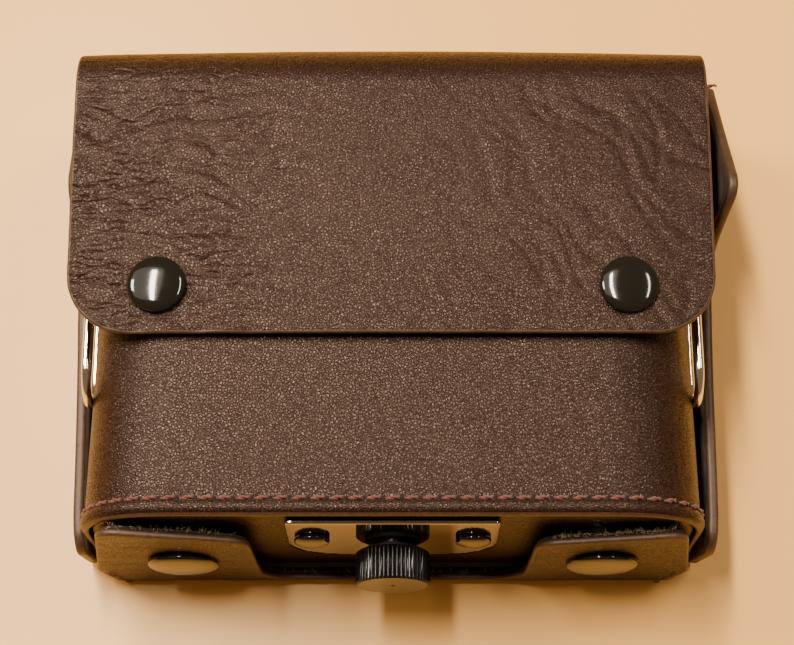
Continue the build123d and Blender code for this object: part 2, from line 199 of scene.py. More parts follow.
def leatherMaterial(name, grainStretch=(1, 1, 1), rise=1.0, creased=False):
    look = leatherLook
    material, tree, shader = newMaterial(name)
    vector = objectCoords(tree, grainStretch)
    bent = warped(tree, vector, 1100.0, 0.0003)
    cell = addNode(tree, "ShaderNodeTexVoronoi", feature="DISTANCE_TO_EDGE")
    cell.inputs["Scale"].default_value = 1.0 / look["grain"]
    tree.links.new(bent, cell.inputs["Vector"])
    pebble = remap(tree, cell.outputs["Distance"], 0.0, 0.26, 0.0, 1.0)
    small = addNode(tree, "ShaderNodeTexVoronoi", feature="DISTANCE_TO_EDGE")
    small.inputs["Scale"].default_value = 1.0 / look["fineGrain"]
    tree.links.new(bent, small.inputs["Vector"])
    fine = remap(tree, small.outputs["Distance"], 0.0, 0.22, 0.0, 1.0)
    tilt = noiseOn(tree, vector, 1500.0, 2.0, 0.6)
    swell = noiseOn(tree, vector, 420.0, 2.0, 0.5)
    height = mathNode(tree, "MULTIPLY_ADD", fine, 0.45, pebble)
    height = mathNode(tree, "MULTIPLY_ADD", tilt, 0.8, height)
    height = mathNode(tree, "MULTIPLY_ADD", swell, 1.9, height)
    if creased:
        height = mathNode(tree, "ADD", height, creaseLayer(tree, 0.1, -12 * mm, -52 * mm, 4.2))
        height = mathNode(tree, "ADD", height, creaseLayer(tree, 1.0, 5 * mm, 60 * mm, 1.3))
    patches = noiseOn(tree, vector, 45.0, 3.0, 0.6)
    crown = mathNode(tree, "MULTIPLY_ADD", fine, 0.3, mathNode(tree, "MULTIPLY", pebble, 0.7))
    # painted shade in the grain valleys, and a painted highlight with real wear on the crests
    colour = ramp(tree, crown, [(0.0, look["valleyShade"]), (0.40, look["top"]), (1.0, look["wornAndGlint"])])
    tint = addNode(tree, "ShaderNodeMixRGB", blend_type="MULTIPLY")
    tint.inputs["Fac"].default_value = 0.6
    tree.links.new(colour, tint.inputs["Color1"])
    shade = ramp(tree, patches, [(0.3, (0.72, 0.70, 0.68)), (0.7, (1.15, 1.1, 1.08))])
    tree.links.new(shade, tint.inputs["Color2"])
    tree.links.new(tint.outputs["Color"], shader.inputs["Base Color"])
    # the crests are polished and the valleys between them stay dull
    dull = remap(tree, crown, 0.2, 0.9, 0.22, 0.0)
    rough = remap(tree, patches, 0.25, 0.75, look["roughness"] - 0.03, look["roughness"] + 0.05)
    tree.links.new(mathNode(tree, "ADD", rough, dull), shader.inputs["Roughness"])
    tree.links.new(remap(tree, crown, 0.1, 0.85, 0.15, look["gloss"]), shader.inputs["Specular IOR Level"])
    shader.inputs["Specular Tint"].default_value = (*look["sheenTint"], 1)
    bump(tree, height, shader, rise, look["grainHeight"])
    return material


def edgePaintMaterial():
    material, tree, shader = newMaterial("edgePaint")
    vector = objectCoords(tree)
    streaks = noiseOn(tree, warped(tree, vector, 200.0, 0.004), 900.0, 3.0, 0.6)
    colour = ramp(tree, streaks, [(0.25, (0.042, 0.020, 0.011)), (0.75, (0.085, 0.045, 0.026))])
    tree.links.new(colour, shader.inputs["Base Color"])
    shader.inputs["Roughness"].default_value = 0.46
    shader.inputs["Specular Tint"].default_value = (1.0, 0.84, 0.74, 1)
    bump(tree, streaks, shader, 0.5, 0.12 * mm)
    return material


def suedeMaterial(name, low, high):
    material, tree, shader = newMaterial(name)
    vector = objectCoords(tree)
    nap = noiseOn(tree, vector, 2400.0, 4.0, 0.7)
    brushed = noiseOn(tree, warped(tree, vector, 60.0, 0.02), 140.0, 3.0, 0.6)
    mixed = mathNode(tree, "MULTIPLY_ADD", brushed, 0.6, mathNode(tree, "MULTIPLY", nap, 0.4))
    colour = ramp(tree, mixed, [(0.3, low), (0.7, high)])
    tree.links.new(colour, shader.inputs["Base Color"])
    shader.inputs["Roughness"].default_value = 0.95
    shader.inputs["Specular IOR Level"].default_value = 0.15
    shader.inputs["Sheen Weight"].default_value = 0.12
    shader.inputs["Sheen Tint"].default_value = (0.7, 0.45, 0.3, 1)
    bump(tree, nap, shader, 0.8, 0.25 * mm)
    return material


def metalMaterial(name, colour, roughness, metallic=1.0, coat=0.0, marks=0.03):
    material, tree, shader = newMaterial(name)
    vector = objectCoords(tree)
    smudge = noiseOn(tree, vector, 260.0, 3.0, 0.6)
    rough = remap(tree, smudge, 0.3, 0.7, max(0.01, roughness - marks), roughness + marks)
    tree.links.new(rough, shader.inputs["Roughness"])
    shade = ramp(tree, smudge, [(0.2, [c * 0.93 for c in colour]), (0.8, list(colour))])
    tree.links.new(shade, shader.inputs["Base Color"])
    shader.inputs["Metallic"].default_value = metallic
    if coat:
        shader.inputs["Coat Weight"].default_value = coat
        shader.inputs["Coat Roughness"].default_value = 0.03
    return material


def threadMaterial():
    material, tree, shader = newMaterial("sewingThread")
    vector = objectCoords(tree)
    fuzz = noiseOn(tree, vector, 3200.0, 3.0, 0.6)
    colour = ramp(tree, fuzz, [(0.25, (0.050, 0.008, 0.003)), (0.75, (0.17, 0.030, 0.012))])
    tree.links.new(colour, shader.inputs["Base Color"])
    shader.inputs["Roughness"].default_value = 0.6
    shader.inputs["Sheen Weight"].default_value = 0.3
    bump(tree, fuzz, shader, 0.6, 0.08 * mm)
    return material


def plainMaterial(name, colour, roughness, grain=1500.0):
    material, tree, shader = newMaterial(name)
    vector = objectCoords(tree)
    speck = noiseOn(tree, vector, grain, 3.0, 0.6)
    shade = ramp(tree, speck, [(0.25, [c * 0.8 for c in colour]), (0.75, list(colour))])
    tree.links.new(shade, shader.inputs["Base Color"])
    shader.inputs["Roughness"].default_value = roughness
    bump(tree, speck, shader, 0.3, 0.05 * mm)
    return material


leatherSkin = leatherMaterial("pebbleLeather")
creasedSkin = leatherMaterial("creasedLeather", creased=True)
smoothSkin = leatherMaterial("smootherLeather", rise=0.45)
edgePaint = edgePaintMaterial()
suede = suedeMaterial("suedeLining", (0.010, 0.0065, 0.005), (0.05, 0.033, 0.025))
# the plate's colour is set darker than bright chrome, as painted shade for the shaded floor it reflects
chrome = metalMaterial("mirrorChrome", (0.34, 0.315, 0.29), 0.06, marks=0.015)
ringChrome = metalMaterial("ringChrome", (0.88, 0.84, 0.76), 0.06, marks=0.02)
enamel = metalMaterial("blackEnamel", (0.008, 0.007, 0.005), 0.10, metallic=0.0, coat=0.35, marks=0.02)
knobBlack = metalMaterial("blackKnob", (0.006, 0.005, 0.006), 0.20, metallic=0.0, marks=0.03)
knobBlack.node_tree.nodes["Principled BSDF"].inputs["Specular IOR Level"].default_value = 0.3
nickel = metalMaterial("snapNickel", (0.62, 0.60, 0.56), 0.25)
brassSpring = metalMaterial("brassSpring", (0.62, 0.42, 0.18), 0.25)
stiffBoard = plainMaterial("stiffenerBoard", (0.11, 0.07, 0.048), 0.8)
fibre = plainMaterial("fibreWasher", (0.03, 0.026, 0.024), 0.6)
thread = threadMaterial()
# a near-black colour for beads that are painted shade in the needle holes
needleHole = plainMaterial("needleHole", (0.006, 0.003, 0.002), 0.9)
fuzzFibre = plainMaterial("tanFibre", (0.85, 0.66, 0.45), 0.7)
print("materials ready")


# ---- sheets cut flat and then bent ----

def smoothStep(value):
    value = min(max(value, 0.0), 1.0)
    return value * value * (3 - 2 * value)


def roundedOutline(corners, step):
    count = len(corners)
    path = []
    for index, (u, v, radius) in enumerate(corners):
        here = Vector((u, v))
        before = (Vector(corners[index - 1][:2]) - here).normalized()
        after = (Vector(corners[(index + 1) % count][:2]) - here).normalized()
        if radius <= 0:
            path.append(here)
            continue
        half = math.acos(max(-1.0, min(1.0, before.dot(after)))) / 2
        centre = here + (before + after).normalized() * (radius / math.sin(half))
        start = here + before * (radius / math.tan(half)) - centre
        end = here + after * (radius / math.tan(half)) - centre
        turn = math.atan2(start.x * end.y - start.y * end.x, start.dot(end))
        steps = max(4, int(abs(turn) * radius / step) + 1)
        for part in range(steps + 1):
            path.append(centre + Matrix.Rotation(turn * part / steps, 2) @ start)
    dense = []
    for index, point in enumerate(path):
        following = path[(index + 1) % len(path)]
        gap = (following - point).length
        if gap < 1e-7:
            continue
        pieces = max(1, round(gap / step))
        dense += [point.lerp(following, part / pieces) for part in range(pieces)]
    area = sum(a.x * b.y - b.x * a.y for a, b in zip(dense, dense[1:] + dense[:1]))
    return dense if area > 0 else dense[::-1]


def insidePoints(loop, spacing):
    edge = np.array([tuple(p) for p in loop])
    ahead = np.roll(edge, -1, axis=0)
    low, high = edge.min(0), edge.max(0)
    rows = []
    for row, v in enumerate(np.arange(low[1] + spacing * 0.6, high[1], spacing * 0.87)):
        shift = spacing * (0.5 if row % 2 else 0.0)
        u = np.arange(low[0] + spacing * 0.6 + shift, high[0], spacing)
        rows.append(np.stack([u, np.full_like(u, v)], 1))
    points = np.concatenate(rows)
    kept = []
    for chunk in np.array_split(points, max(1, len(points) // 3000)):
        px, py = chunk[:, None, 0], chunk[:, None, 1]
        ax, ay, bx, by = edge[:, 0], edge[:, 1], ahead[:, 0], ahead[:, 1]
        crosses = (ay > py) != (by > py)
        slope = np.where(np.abs(by - ay) < 1e-12, 1e-12, by - ay)
        at = ax + (py - ay) * (bx - ax) / slope
        inside = (crosses & (px < at)).sum(1) % 2 == 1
        dx, dy = bx - ax, by - ay
        t = np.clip(((px - ax) * dx + (py - ay) * dy) / (dx * dx + dy * dy + 1e-15), 0, 1)
        distance = np.hypot(px - ax - t * dx, py - ay - t * dy).min(1)
        kept.append(chunk[inside & (distance > spacing * 0.55)])
    return np.concatenate(kept)


def makeObject(name, vertices, faces, materials, indices=None, smooth=True):
    mesh = bpy.data.meshes.new(name)
    mesh.from_pydata([tuple(v) for v in vertices], [], faces)
    for material in materials:
        mesh.materials.append(material)
    if indices is not None:
        mesh.polygons.foreach_set("material_index", indices)
    mesh.polygons.foreach_set("use_smooth", [smooth] * len(mesh.polygons))
    mesh.update()
    piece = bpy.data.objects.new(name, mesh)
    bpy.context.scene.collection.objects.link(piece)
    return piece


def cutSheet(name, corners, bend, outer, inner, materials, spacing=1.0 * mm, rounding=0.5 * mm,
             relief=None, edgeSteps=5, squareness=0.75):
    outline = roundedOutline(corners, spacing)
    count = len(outline)
    outward = []
    for index in range(count):
        along = (outline[(index + 1) % count] - outline[index - 1]).normalized()
        outward.append(Vector((along.y, -along.x)))
    inset = [point - out * rounding for point, out in zip(outline, outward)]
    inner2d = [Vector(p) for p in insidePoints(inset, spacing)]
    flat, _, triangles, origins, _, _ = geometry.delaunay_2d_cdt(
        inset + inner2d, [], [list(range(count))], 1, 1e-8)
    ringIndex = {}
    for index, sources in enumerate(origins):
        for source in sources:
            if source < count:
                ringIndex[source] = index
    vertices = []
    for point in flat:
        place, normal = bend(point.x, point.y)
        lift = relief(point.x, point.y) if relief else 0.0
        vertices.append(place + normal * (outer + lift))
    for point in flat:
        place, normal = bend(point.x, point.y)
        vertices.append(place + normal * inner)
    size = len(flat)
    middle, half = (outer + inner) / 2, (outer - inner) / 2
    rings = [[ringIndex[index] for index in range(count)]]
    for step in range(1, edgeSteps):
        angle = math.pi / 2 - math.pi * step / edgeSteps
        reach = rounding * math.cos(angle) ** squareness
        ring = []
        for index in range(count):
            point = inset[index] + outward[index] * reach
            place, normal = bend(point.x, point.y)
            lift = relief(point.x, point.y) * (1 + math.sin(angle)) / 2 if relief else 0.0
            ring.append(len(vertices))
            vertices.append(place + normal * (middle + half * math.sin(angle) + lift))
        rings.append(ring)
    rings.append([index + size for index in rings[0]])
    first = triangles[len(triangles) // 2]
    a, b, c = (vertices[i] for i in first)
    _, normalHere = bend(flat[first[0]].x, flat[first[0]].y)
    flipped = (b - a).cross(c - a).dot(normalHere) < 0
    faces, indices = [], []
    for triangle in triangles:
        faces.append(tuple(reversed(triangle)) if flipped else tuple(triangle))
        indices.append(0)
    for triangle in triangles:
        below = tuple(index + size for index in triangle)
        faces.append(below if flipped else tuple(reversed(below)))
        indices.append(min(2, len(materials) - 1))
    for upper, lower in zip(rings, rings[1:]):
        for index in range(count):
            after = (index + 1) % count
            quad = (upper[index], lower[index], lower[after], upper[after])
            faces.append(tuple(reversed(quad)) if flipped else quad)
            indices.append(min(1, len(materials) - 1))
    across, along = zip(*[(u, v) for u, v, _ in corners])
    print(f"{name} flat {1000 * (max(across) - min(across)):.1f} by {1000 * (max(along) - min(along)):.1f} mm")
    return makeObject(name, vertices, faces, materials, indices)


def pathBend(start, heading, runs, side, shape=None):
    # follows straight and round runs in the plane of Y and Z; each run is (length, turn)
    nodes = []
    y, z, angle, travelled = start[0], start[1], heading, 0.0
    for length, turn in runs:
        nodes.append((travelled, length, y, z, angle, turn))
        if abs(turn) < 1e-9:
            y, z = y + math.cos(angle) * length, z + math.sin(angle) * length
        else:
            radius = length / turn
            y += radius * (math.sin(angle + turn) - math.sin(angle))
            z -= radius * (math.cos(angle + turn) - math.cos(angle))
            angle += turn
        travelled += length

    def bend(u, v):
        found = nodes[0]
        for node in nodes:
            if v >= node[0]:
                found = node
        begin, length, y0, z0, angle0, turn = found
        far = v - begin
        if abs(turn) < 1e-9:
            here = angle0
            y1, z1 = y0 + math.cos(here) * far, z0 + math.sin(here) * far
        else:
            radius = length / turn
            far = min(far, length)
            here = angle0 + turn * far / length
            y1 = y0 + radius * (math.sin(here) - math.sin(angle0))
            z1 = z0 - radius * (math.cos(here) - math.cos(angle0))
        normal = Vector((0, -math.sin(here) * side, math.cos(here) * side))
        place = Vector((u, y1, z1))
        if shape:
            place = place + shape(u, v, place)
        return place, normal

    return bend


def mirrorRight(corners):
    return corners + [(-u, v, radius) for u, v, radius in reversed(corners)]


# ---- back panel and the lower part of the top strap, one sheet round the fold ----

backCut = {"splitY": 12 * mm, "foldRadius": 3.0 * mm, "strapSplit": 26 * mm, "cornerRadius": 5 * mm,
           "lowInset": 5.4 * mm}


def backSheetRuns(inset):
    radius = backCut["foldRadius"] - inset
    flat = (foldTopY - backCut["foldRadius"]) - (foldBottomY + backCut["splitY"])
    rise = backCut["strapSplit"] - backCut["foldRadius"]
    return [(flat, 0.0), (radius * math.pi / 2, math.pi / 2), (rise, 0.0)]


backBend = pathBend((foldBottomY + backCut["splitY"], 0.0), 0.0, backSheetRuns(0), -1)
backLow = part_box("back_panel")
backHalfTop = backLow[1].x
foldLength = sum(length for length, _ in backSheetRuns(0))
backFlat = backSheetRuns(0)[0][0]


backCorners = mirrorRight([
    (backHalfTop - backCut["lowInset"], 0.0, 0.0),
    (backHalfTop, backFlat + 0.5 * mm, backCut["cornerRadius"]),
    (flapHalf + 0.2 * mm, backFlat + 0.6 * mm, 0.6 * mm),
    (flapHalf, foldLength, 0.0),
])
backLeather = cutSheet("backLeather", backCorners, backBend, 0.0, -leather,
                       [leatherSkin, edgePaint, leatherSkin], spacing=1.6 * mm)
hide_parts("back_panel")
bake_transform(backLeather)
print("back sheet cut")


# ---- front flap with its roll ----

flapCut = {"cornerRadius": 15 * mm, "creaseDepth": 0.65 * mm, "waveDepth": 0.5 * mm, "rollCrown": 1.4 * mm}


def flapRuns(inset, extra=0.0):
    radius = rollRadius - inset
    rise = flapFace - rollRadius - backCut["strapSplit"]
    return [(rise, 0.0), (radius * math.pi / 2, math.pi / 2), (flapHingeY - flapEdgeY + extra, 0.0)]


def flapSpread(u, y):
    # the flap opens out a little towards the roll, more on its left side
    towardsRoll = smoothStep((y - flapEdgeY) / (flapHingeY - flapEdgeY))
    reach = (0.3 + 0.8 * towardsRoll) if u > 0 else -(1.0 + 0.8 * towardsRoll)
    return reach * mm * abs(u) / flapHalf


def flapShape(u, v, place):
    # the free edge settles a little and the sides ease down over the rounded front
    sag = -0.5 * mm * smoothStep((flapHingeY - 20 * mm - place.y) / (40 * mm))
    side = -0.9 * mm * smoothStep((abs(u) / flapHalf - 0.72) / 0.28)
    rolled = max(0.0, (place.y - flapHingeY) / rollRadius)
    if rolled > 0:
        side *= smoothStep(1 - rolled)
        sag = 0.0
    crown = flapCut["rollCrown"] * rolled ** 2 * (1 - (u / flapHalf) ** 2)
    return Vector((flapSpread(u, place.y), crown, sag + side))


def flapRelief(u, v):
    p = Vector((u, v, 0))
    broad = noise.noise(p * 38) * flapCut["waveDepth"] * 0.5
    leftPart = smoothStep((-u - 5 * mm) / (45 * mm))
    rightPart = smoothStep((u + 5 * mm) / (50 * mm))
    warp = noise.noise_vector(p * 60) * 0.006
    level = Vector(((u + warp.x) * 55, (v + warp.y) * 230, 3.1))
    slanted = Matrix.Rotation(math.radians(-58), 3, "Z") @ Vector((u + warp.x, v + warp.y, 0))
    slant = Vector((slanted.x * 60, slanted.y * 210, 7.7))
    ridgeLeft = (1 - abs(noise.noise(level))) ** 5
    ridgeRight = (1 - abs(noise.noise(slant))) ** 8
    cut = leftPart * ridgeLeft + 0.55 * rightPart * ridgeRight
    # the roll itself stays smooth
    fade = 0.15 + 0.85 * smoothStep((v - flapRuns(0)[0][0] - 0.7 * flapRuns(0)[1][0]) / (14 * mm))
    return fade * (broad - flapCut["creaseDepth"] * cut)


flapBend = pathBend((foldTopY, backCut["strapSplit"]), math.pi / 2, flapRuns(0), -1, flapShape)
flapLength = sum(length for length, _ in flapRuns(0))
flapCorners = mirrorRight([(flapHalf, -0.9 * mm, 0.0), (flapHalf, flapLength, flapCut["cornerRadius"])])
flapLeather = cutSheet("flapLeather", flapCorners, flapBend, 0.0, -leather,
                       [creasedSkin, edgePaint, leatherSkin], spacing=0.9 * mm, relief=flapRelief, rounding=0.6 * mm)
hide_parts("top_strap", "front_flap")
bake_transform(flapLeather)

liningInset = 0.7 * mm
flapLiningCorners = mirrorRight([
    (flapHalf - liningInset, 0.0, 0.0),
    (flapHalf - liningInset, flapLength - liningInset, flapCut["cornerRadius"] - liningInset),
])
flapLining = cutSheet("flapLining", flapLiningCorners, flapBend, -leather, -sheetThickness,
                      [suede], spacing=1.8 * mm, rounding=0.25 * mm, edgeSteps=3)
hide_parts("top_strap_lining", "front_flap_lining")
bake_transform(flapLining)

strapLiningBend = pathBend((foldTopY - 6 * mm, 0.0), 0.0,
                           [(6 * mm - backCut["foldRadius"], 0.0)] + backSheetRuns(0)[1:], -1)
strapLiningLength = 6 * mm - backCut["foldRadius"] + sum(length for length, _ in backSheetRuns(0)[1:])
strapLiningCorners = mirrorRight([
    (flapHalf - liningInset, 0.0, 0.0),
    (flapHalf - liningInset, strapLiningLength, 0.0),
])
strapLining = cutSheet("strapLining", strapLiningCorners, strapLiningBend, -leather, -sheetThickness,
                       [suede], spacing=1.8 * mm, rounding=0.25 * mm, edgeSteps=3)
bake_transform(strapLining)
print("front flap cut")


# ---- bottom flap with its notch, one sheet round the bottom fold ----

bottomCut = {
    "foldRadius": 4.0 * mm, "notchHalf": 31.5 * mm, "notchFloor": 4.8 * mm,
    "floorCorner": 8 * mm, "tabCorner": 6 * mm, "outerCorner": 5 * mm, "twist": 1.1 * mm,
    "hip": 4.2 * mm, "hipHeight": 13 * mm,
    "leftTab": (48.0 * mm, 43.0 * mm), "rightTab": (44.8 * mm, 41.0 * mm),
}


def bottomRuns():
    flat = backCut["splitY"] - bottomCut["foldRadius"]
    radius = bottomCut["foldRadius"]
    return [(flat, 0.0), (radius * math.pi / 2, -math.pi / 2), (bottomEdgeZ - radius, 0.0)]


bottomFlat = bottomRuns()[0][0]
bottomRise = bottomFlat + bottomRuns()[1][0] - bottomCut["foldRadius"]


def bottomShape(u, v, place):
    # the tabs lean out towards the notch and in towards the side walls
    height = max(0.0, place.z - bottomCut["foldRadius"]) / bottomEdgeZ
    across = abs(u) / bottomHalf
    lean = bottomCut["twist"] * (0.62 - across) * 2.2 * smoothStep(height)
    belly = 0.5 * mm * math.sin(math.pi * min(1.0, height * 1.4)) * (1 - across ** 4)
    return Vector((0, -lean - belly, 0))


def bottomRelief(u, v):
    p = Vector((u, v, 5.0))
    warp = noise.noise_vector(p * 50) * 0.005
    ridge = (1 - abs(noise.noise(Vector(((u + warp.x) * 45, (v + warp.y) * 200, 1.0))))) ** 8
    return noise.noise(p * 45) * 0.12 * mm - 0.12 * mm * ridge


bottomBend = pathBend((foldBottomY + backCut["splitY"], 0.0), math.pi, bottomRuns(), 1, bottomShape)
def tabCorners(side, inset):
    # from the notch's floor round the tab to the mitred corner of the fold
    cut = bottomCut
    outer, inner = (height - inset for height in cut[f"{side}Tab"])
    half = bottomHalf - inset
    return [
        (cut["notchHalf"] + inset, bottomRise + cut["notchFloor"] - inset, cut["floorCorner"]),
        (cut["notchHalf"] + inset + 1.5 * mm, bottomRise + inner, cut["tabCorner"]),
        (half, bottomRise + outer, cut["outerCorner"]),
        (half + cut["hip"], bottomRise + cut["hipHeight"], 3.0 * mm),
    ]


def bottomOutline(inset, tail):
    right = tabCorners("right", inset) + tail
    left = [(-u, v, radius) for u, v, radius in reversed(tabCorners("left", inset) + tail)]
    return right + left


backCornerHalf = backHalfTop - backCut["lowInset"]
bottomCorners = bottomOutline(0.0, [
    (bottomHalf - 0.5 * mm, bottomFlat + 1.5 * mm, 2.0 * mm),
    (backCornerHalf, bottomFlat - 6.0 * mm, 3.0 * mm),
    (backCornerHalf, 0.0, 0.0),
])
bottomLeather = cutSheet("bottomLeather", bottomCorners, bottomBend, 0.0, -leather,
                         [leatherSkin, edgePaint, leatherSkin], spacing=1.0 * mm, relief=bottomRelief, rounding=0.6 * mm)
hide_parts("bottom_flap")
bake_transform(bottomLeather)

bottomLiningCorners = bottomOutline(liningInset, [(bottomHalf - 2 * mm, bottomFlat + 5.5 * mm, 0.0)])
bottomLining = cutSheet("bottomLining", bottomLiningCorners, bottomBend, -leather, -sheetThickness,
                        [suede], spacing=1.5 * mm, rounding=0.25 * mm, edgeSteps=3)
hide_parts("bottom_flap_lining")
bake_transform(bottomLining)
print("bottom flap cut")


# ---- front half: one wall round three sides ----

wallCut = {
    "cornerRadius": 22 * mm, "cornerDrop": 19 * mm, "squareness": 2.3, "baseSpread": 0.026, "seamHeight": 4.0 * mm, "flare": 0.9 * mm, "pinch": 0.35 * mm,
    "seamFlange": 8 * mm, "bulge": 0.5 * mm,
}
flatHalf = halfWidth - wallCut["cornerRadius"]


def wallProfile():
    # half of the front half's outline from its middle round to the back, as (x, z, distance)
    steps, power = 160, 2 / wallCut["squareness"]
    across, down = wallCut["cornerRadius"], wallCut["cornerDrop"]
    points = [(0.0, bodyTop), (flatHalf, bodyTop)]
    for step in range(1, steps + 1):
        angle = math.pi / 2 * step / steps
        points.append((flatHalf + across * math.sin(angle) ** power,
                       bodyTop - down * (1 - max(0.0, math.cos(angle)) ** power)))
    points.append((halfWidth, backLevel))
    travelled, rows = 0.0, [(*points[0], 0.0)]
    for before, after in zip(points, points[1:]):
        travelled += math.dist(before, after)
        rows.append((*after, travelled))
    return rows


wallRows = wallProfile()
wallHalfLength = wallRows[-1][2]
wallColumns = np.array(wallRows).T


def profileAt(far):
    x, z, along = wallColumns
    return float(np.interp(far, along, x)), float(np.interp(far, along, z))


def wallPlace(across):
    # place and normal on the front half's outer surface, by distance from its middle
    sign = 1 if across >= 0 else -1
    far = min(abs(across), wallHalfLength)
    x, z = profileAt(far)
    xBefore, zBefore = profileAt(max(far - 0.6 * mm, 0.0))
    xAfter, zAfter = profileAt(min(far + 0.6 * mm, wallHalfLength))
    normal = Vector((sign * (zBefore - zAfter), 0, xAfter - xBefore)).normalized()
    return Vector((sign * x, 0, z)), normal


def wallWiden(x, y):
    # the front half opens a little towards the base
    return x * wallCut["baseSpread"] * min(1.0, max(0.0, (openY * 0.1 - y) / (openY * 0.1 - baseY)))


def wallSwell(u, v):
    # the seam pinches the wall and the flange below it stands out a little
    height = v - baseY
    below = smoothStep((wallCut["seamHeight"] + 1.2 * mm - height) / (2.6 * mm))
    curl = smoothStep((1.6 * mm - height) / (1.6 * mm))
    groove = math.exp(-((height - wallCut["seamHeight"]) / (0.9 * mm)) ** 2)
    middle = math.sin(math.pi * min(1.0, max(0.0, height / (openY - baseY))))
    return wallCut["flare"] * (below - 0.9 * curl) - wallCut["pinch"] * groove + wallCut["bulge"] * middle


def wallBend(u, v):
    place, normal = wallPlace(u)
    place = place + normal * wallSwell(u, v)
    place.x += wallWiden(place.x, v)
    place.y = v
    return place, normal


def wallRelief(u, v):
    p = Vector((u, v, 9.0))
    warp = noise.noise_vector(p * 45) * 0.006
    upright = Vector(((u + warp.x) * 150, (v + warp.y) * 45, 2.0))
    ridge = (1 - abs(noise.noise(upright))) ** 9
    where = smoothStep((u - 10 * mm) / (50 * mm)) + 0.3
    return noise.noise(p * 30) * 0.14 * mm - 0.07 * mm * ridge * where


wallCorners = mirrorRight([(wallHalfLength, baseY, 1.5 * mm), (wallHalfLength, openY, 3 * mm)])
frontShell = cutSheet("frontShell", wallCorners, wallBend, 0.0, -leather,
                      [leatherSkin, edgePaint, leatherSkin], spacing=1.1 * mm, relief=wallRelief, rounding=0.6 * mm)
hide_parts("front_wall")
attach(frontShell, "case")

frontLiningCorners = mirrorRight([
    (wallHalfLength - sheetThickness, baseY + wallCut["seamFlange"], 0.0),
    (wallHalfLength - sheetThickness, openY - liningInset, 2 * mm),
])


def plainWallBend(u, v):
    place, normal = wallPlace(u)
    place.x += wallWiden(place.x, v)
    place.y = v
    return place, normal


frontLining = cutSheet("frontLining", frontLiningCorners, plainWallBend, -leather, -sheetThickness,
                       [suede], spacing=1.8 * mm, rounding=0.25 * mm, edgeSteps=3)
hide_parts("front_lining")
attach(frontLining, "case")

# base panel, a moulded tray whose face sits just inside the wall's lower edge
baseCut = {"face": 0.5 * mm, "corner": 1.3 * mm, "crown": 0.35 * mm}


def baseBend(u, v):
    middle = 1 - (abs(u) / halfWidth) ** 4
    rise = baseCut["crown"] * middle * math.sin(math.pi * v / bodyTop)
    return Vector((u + wallWiden(u, baseY), baseY + baseCut["face"] - rise, v)), Vector((0, -1, 0))


def archCorners(inset, low):
    radius = wallCut["cornerRadius"] - inset
    return mirrorRight([(halfWidth - inset, low, 0.0), (halfWidth - inset, bodyTop - inset, radius * 0.86)])


basePanel = cutSheet("basePanel", archCorners(leather, backLevel), baseBend, 0.0, -1.5 * mm,
                     [leatherSkin, leatherSkin, suede], spacing=1.1 * mm, rounding=baseCut["corner"],
                     relief=bottomRelief, squareness=1.0, edgeSteps=6)
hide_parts("base_panel")
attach(basePanel, "case")
baseLining = cutSheet("baseLining", archCorners(2 * leather, backLevel), baseBend, -1.52 * mm, -1.97 * mm,
                      [suede], spacing=2.0 * mm, rounding=0.2 * mm, edgeSteps=3)
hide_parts("base_lining")
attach(baseLining, "case")


def floorBend(u, v):
    return Vector((u, v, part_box("back_lining")[1].z)), Vector((0, 0, 1))


backLiningLow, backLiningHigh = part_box("back_lining")
backLining = cutSheet("backLining", mirrorRight([(backLiningHigh.x, backLiningLow.y, 1 * mm),
                                                 (backLiningHigh.x, backLiningHigh.y, 1 * mm)]),
                      floorBend, 0.0, backLiningLow.z - backLiningHigh.z, [suede],
                      spacing=2.0 * mm, rounding=0.25 * mm, edgeSteps=3)
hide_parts("back_lining")
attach(backLining, "case")

# the stiffening board, tapered at its lower end so that it stays under the wings
boardCut = {"taper": 7.0 * mm, "lowGap": 3.6 * mm, "taperLength": 12 * mm, "corner": 3 * mm}
boardLow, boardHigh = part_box("back_board")


def boardBend(u, v):
    return Vector((u, v, boardHigh.z)), Vector((0, 0, 1))


backBoard = cutSheet("backBoard", mirrorRight([
    (boardHigh.x - boardCut["taper"], boardLow.y + boardCut["lowGap"], boardCut["corner"]),
    (boardHigh.x, boardLow.y + boardCut["lowGap"] + boardCut["taperLength"], boardCut["corner"]),
    (boardHigh.x, boardHigh.y, boardCut["corner"]),
]), boardBend, 0.0, boardLow.z - boardHigh.z, [stiffBoard], spacing=2.5 * mm, rounding=0.2 * mm, edgeSteps=3)
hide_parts("back_board")
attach(backBoard, "case")
print("front half cut")


# ---- side wings with their ears ----

wingCut = {
    "gapLow": {"right": 2.6 * mm, "left": 2.2 * mm}, "gapHigh": 6.0 * mm, "start": -2.6 * mm, "heel": 0.6 * mm,
    "leather": 2.5 * mm, "lean": {"right": 3.0, "left": 1.0},
    "ringToEar": 12.5 * mm, "earSlope": 10 * mm, "earRise": 21 * mm, "endRise": 3.5 * mm,
    "edge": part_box("strap_ring_right")[0].z - 2 * mm,
    "flare": {"right": 3.6 * mm, "left": -0.2 * mm},
}
ringLow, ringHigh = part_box("strap_ring_right")
ringHinge = ringHigh.y - (ringHigh.x - ringLow.x) / 2


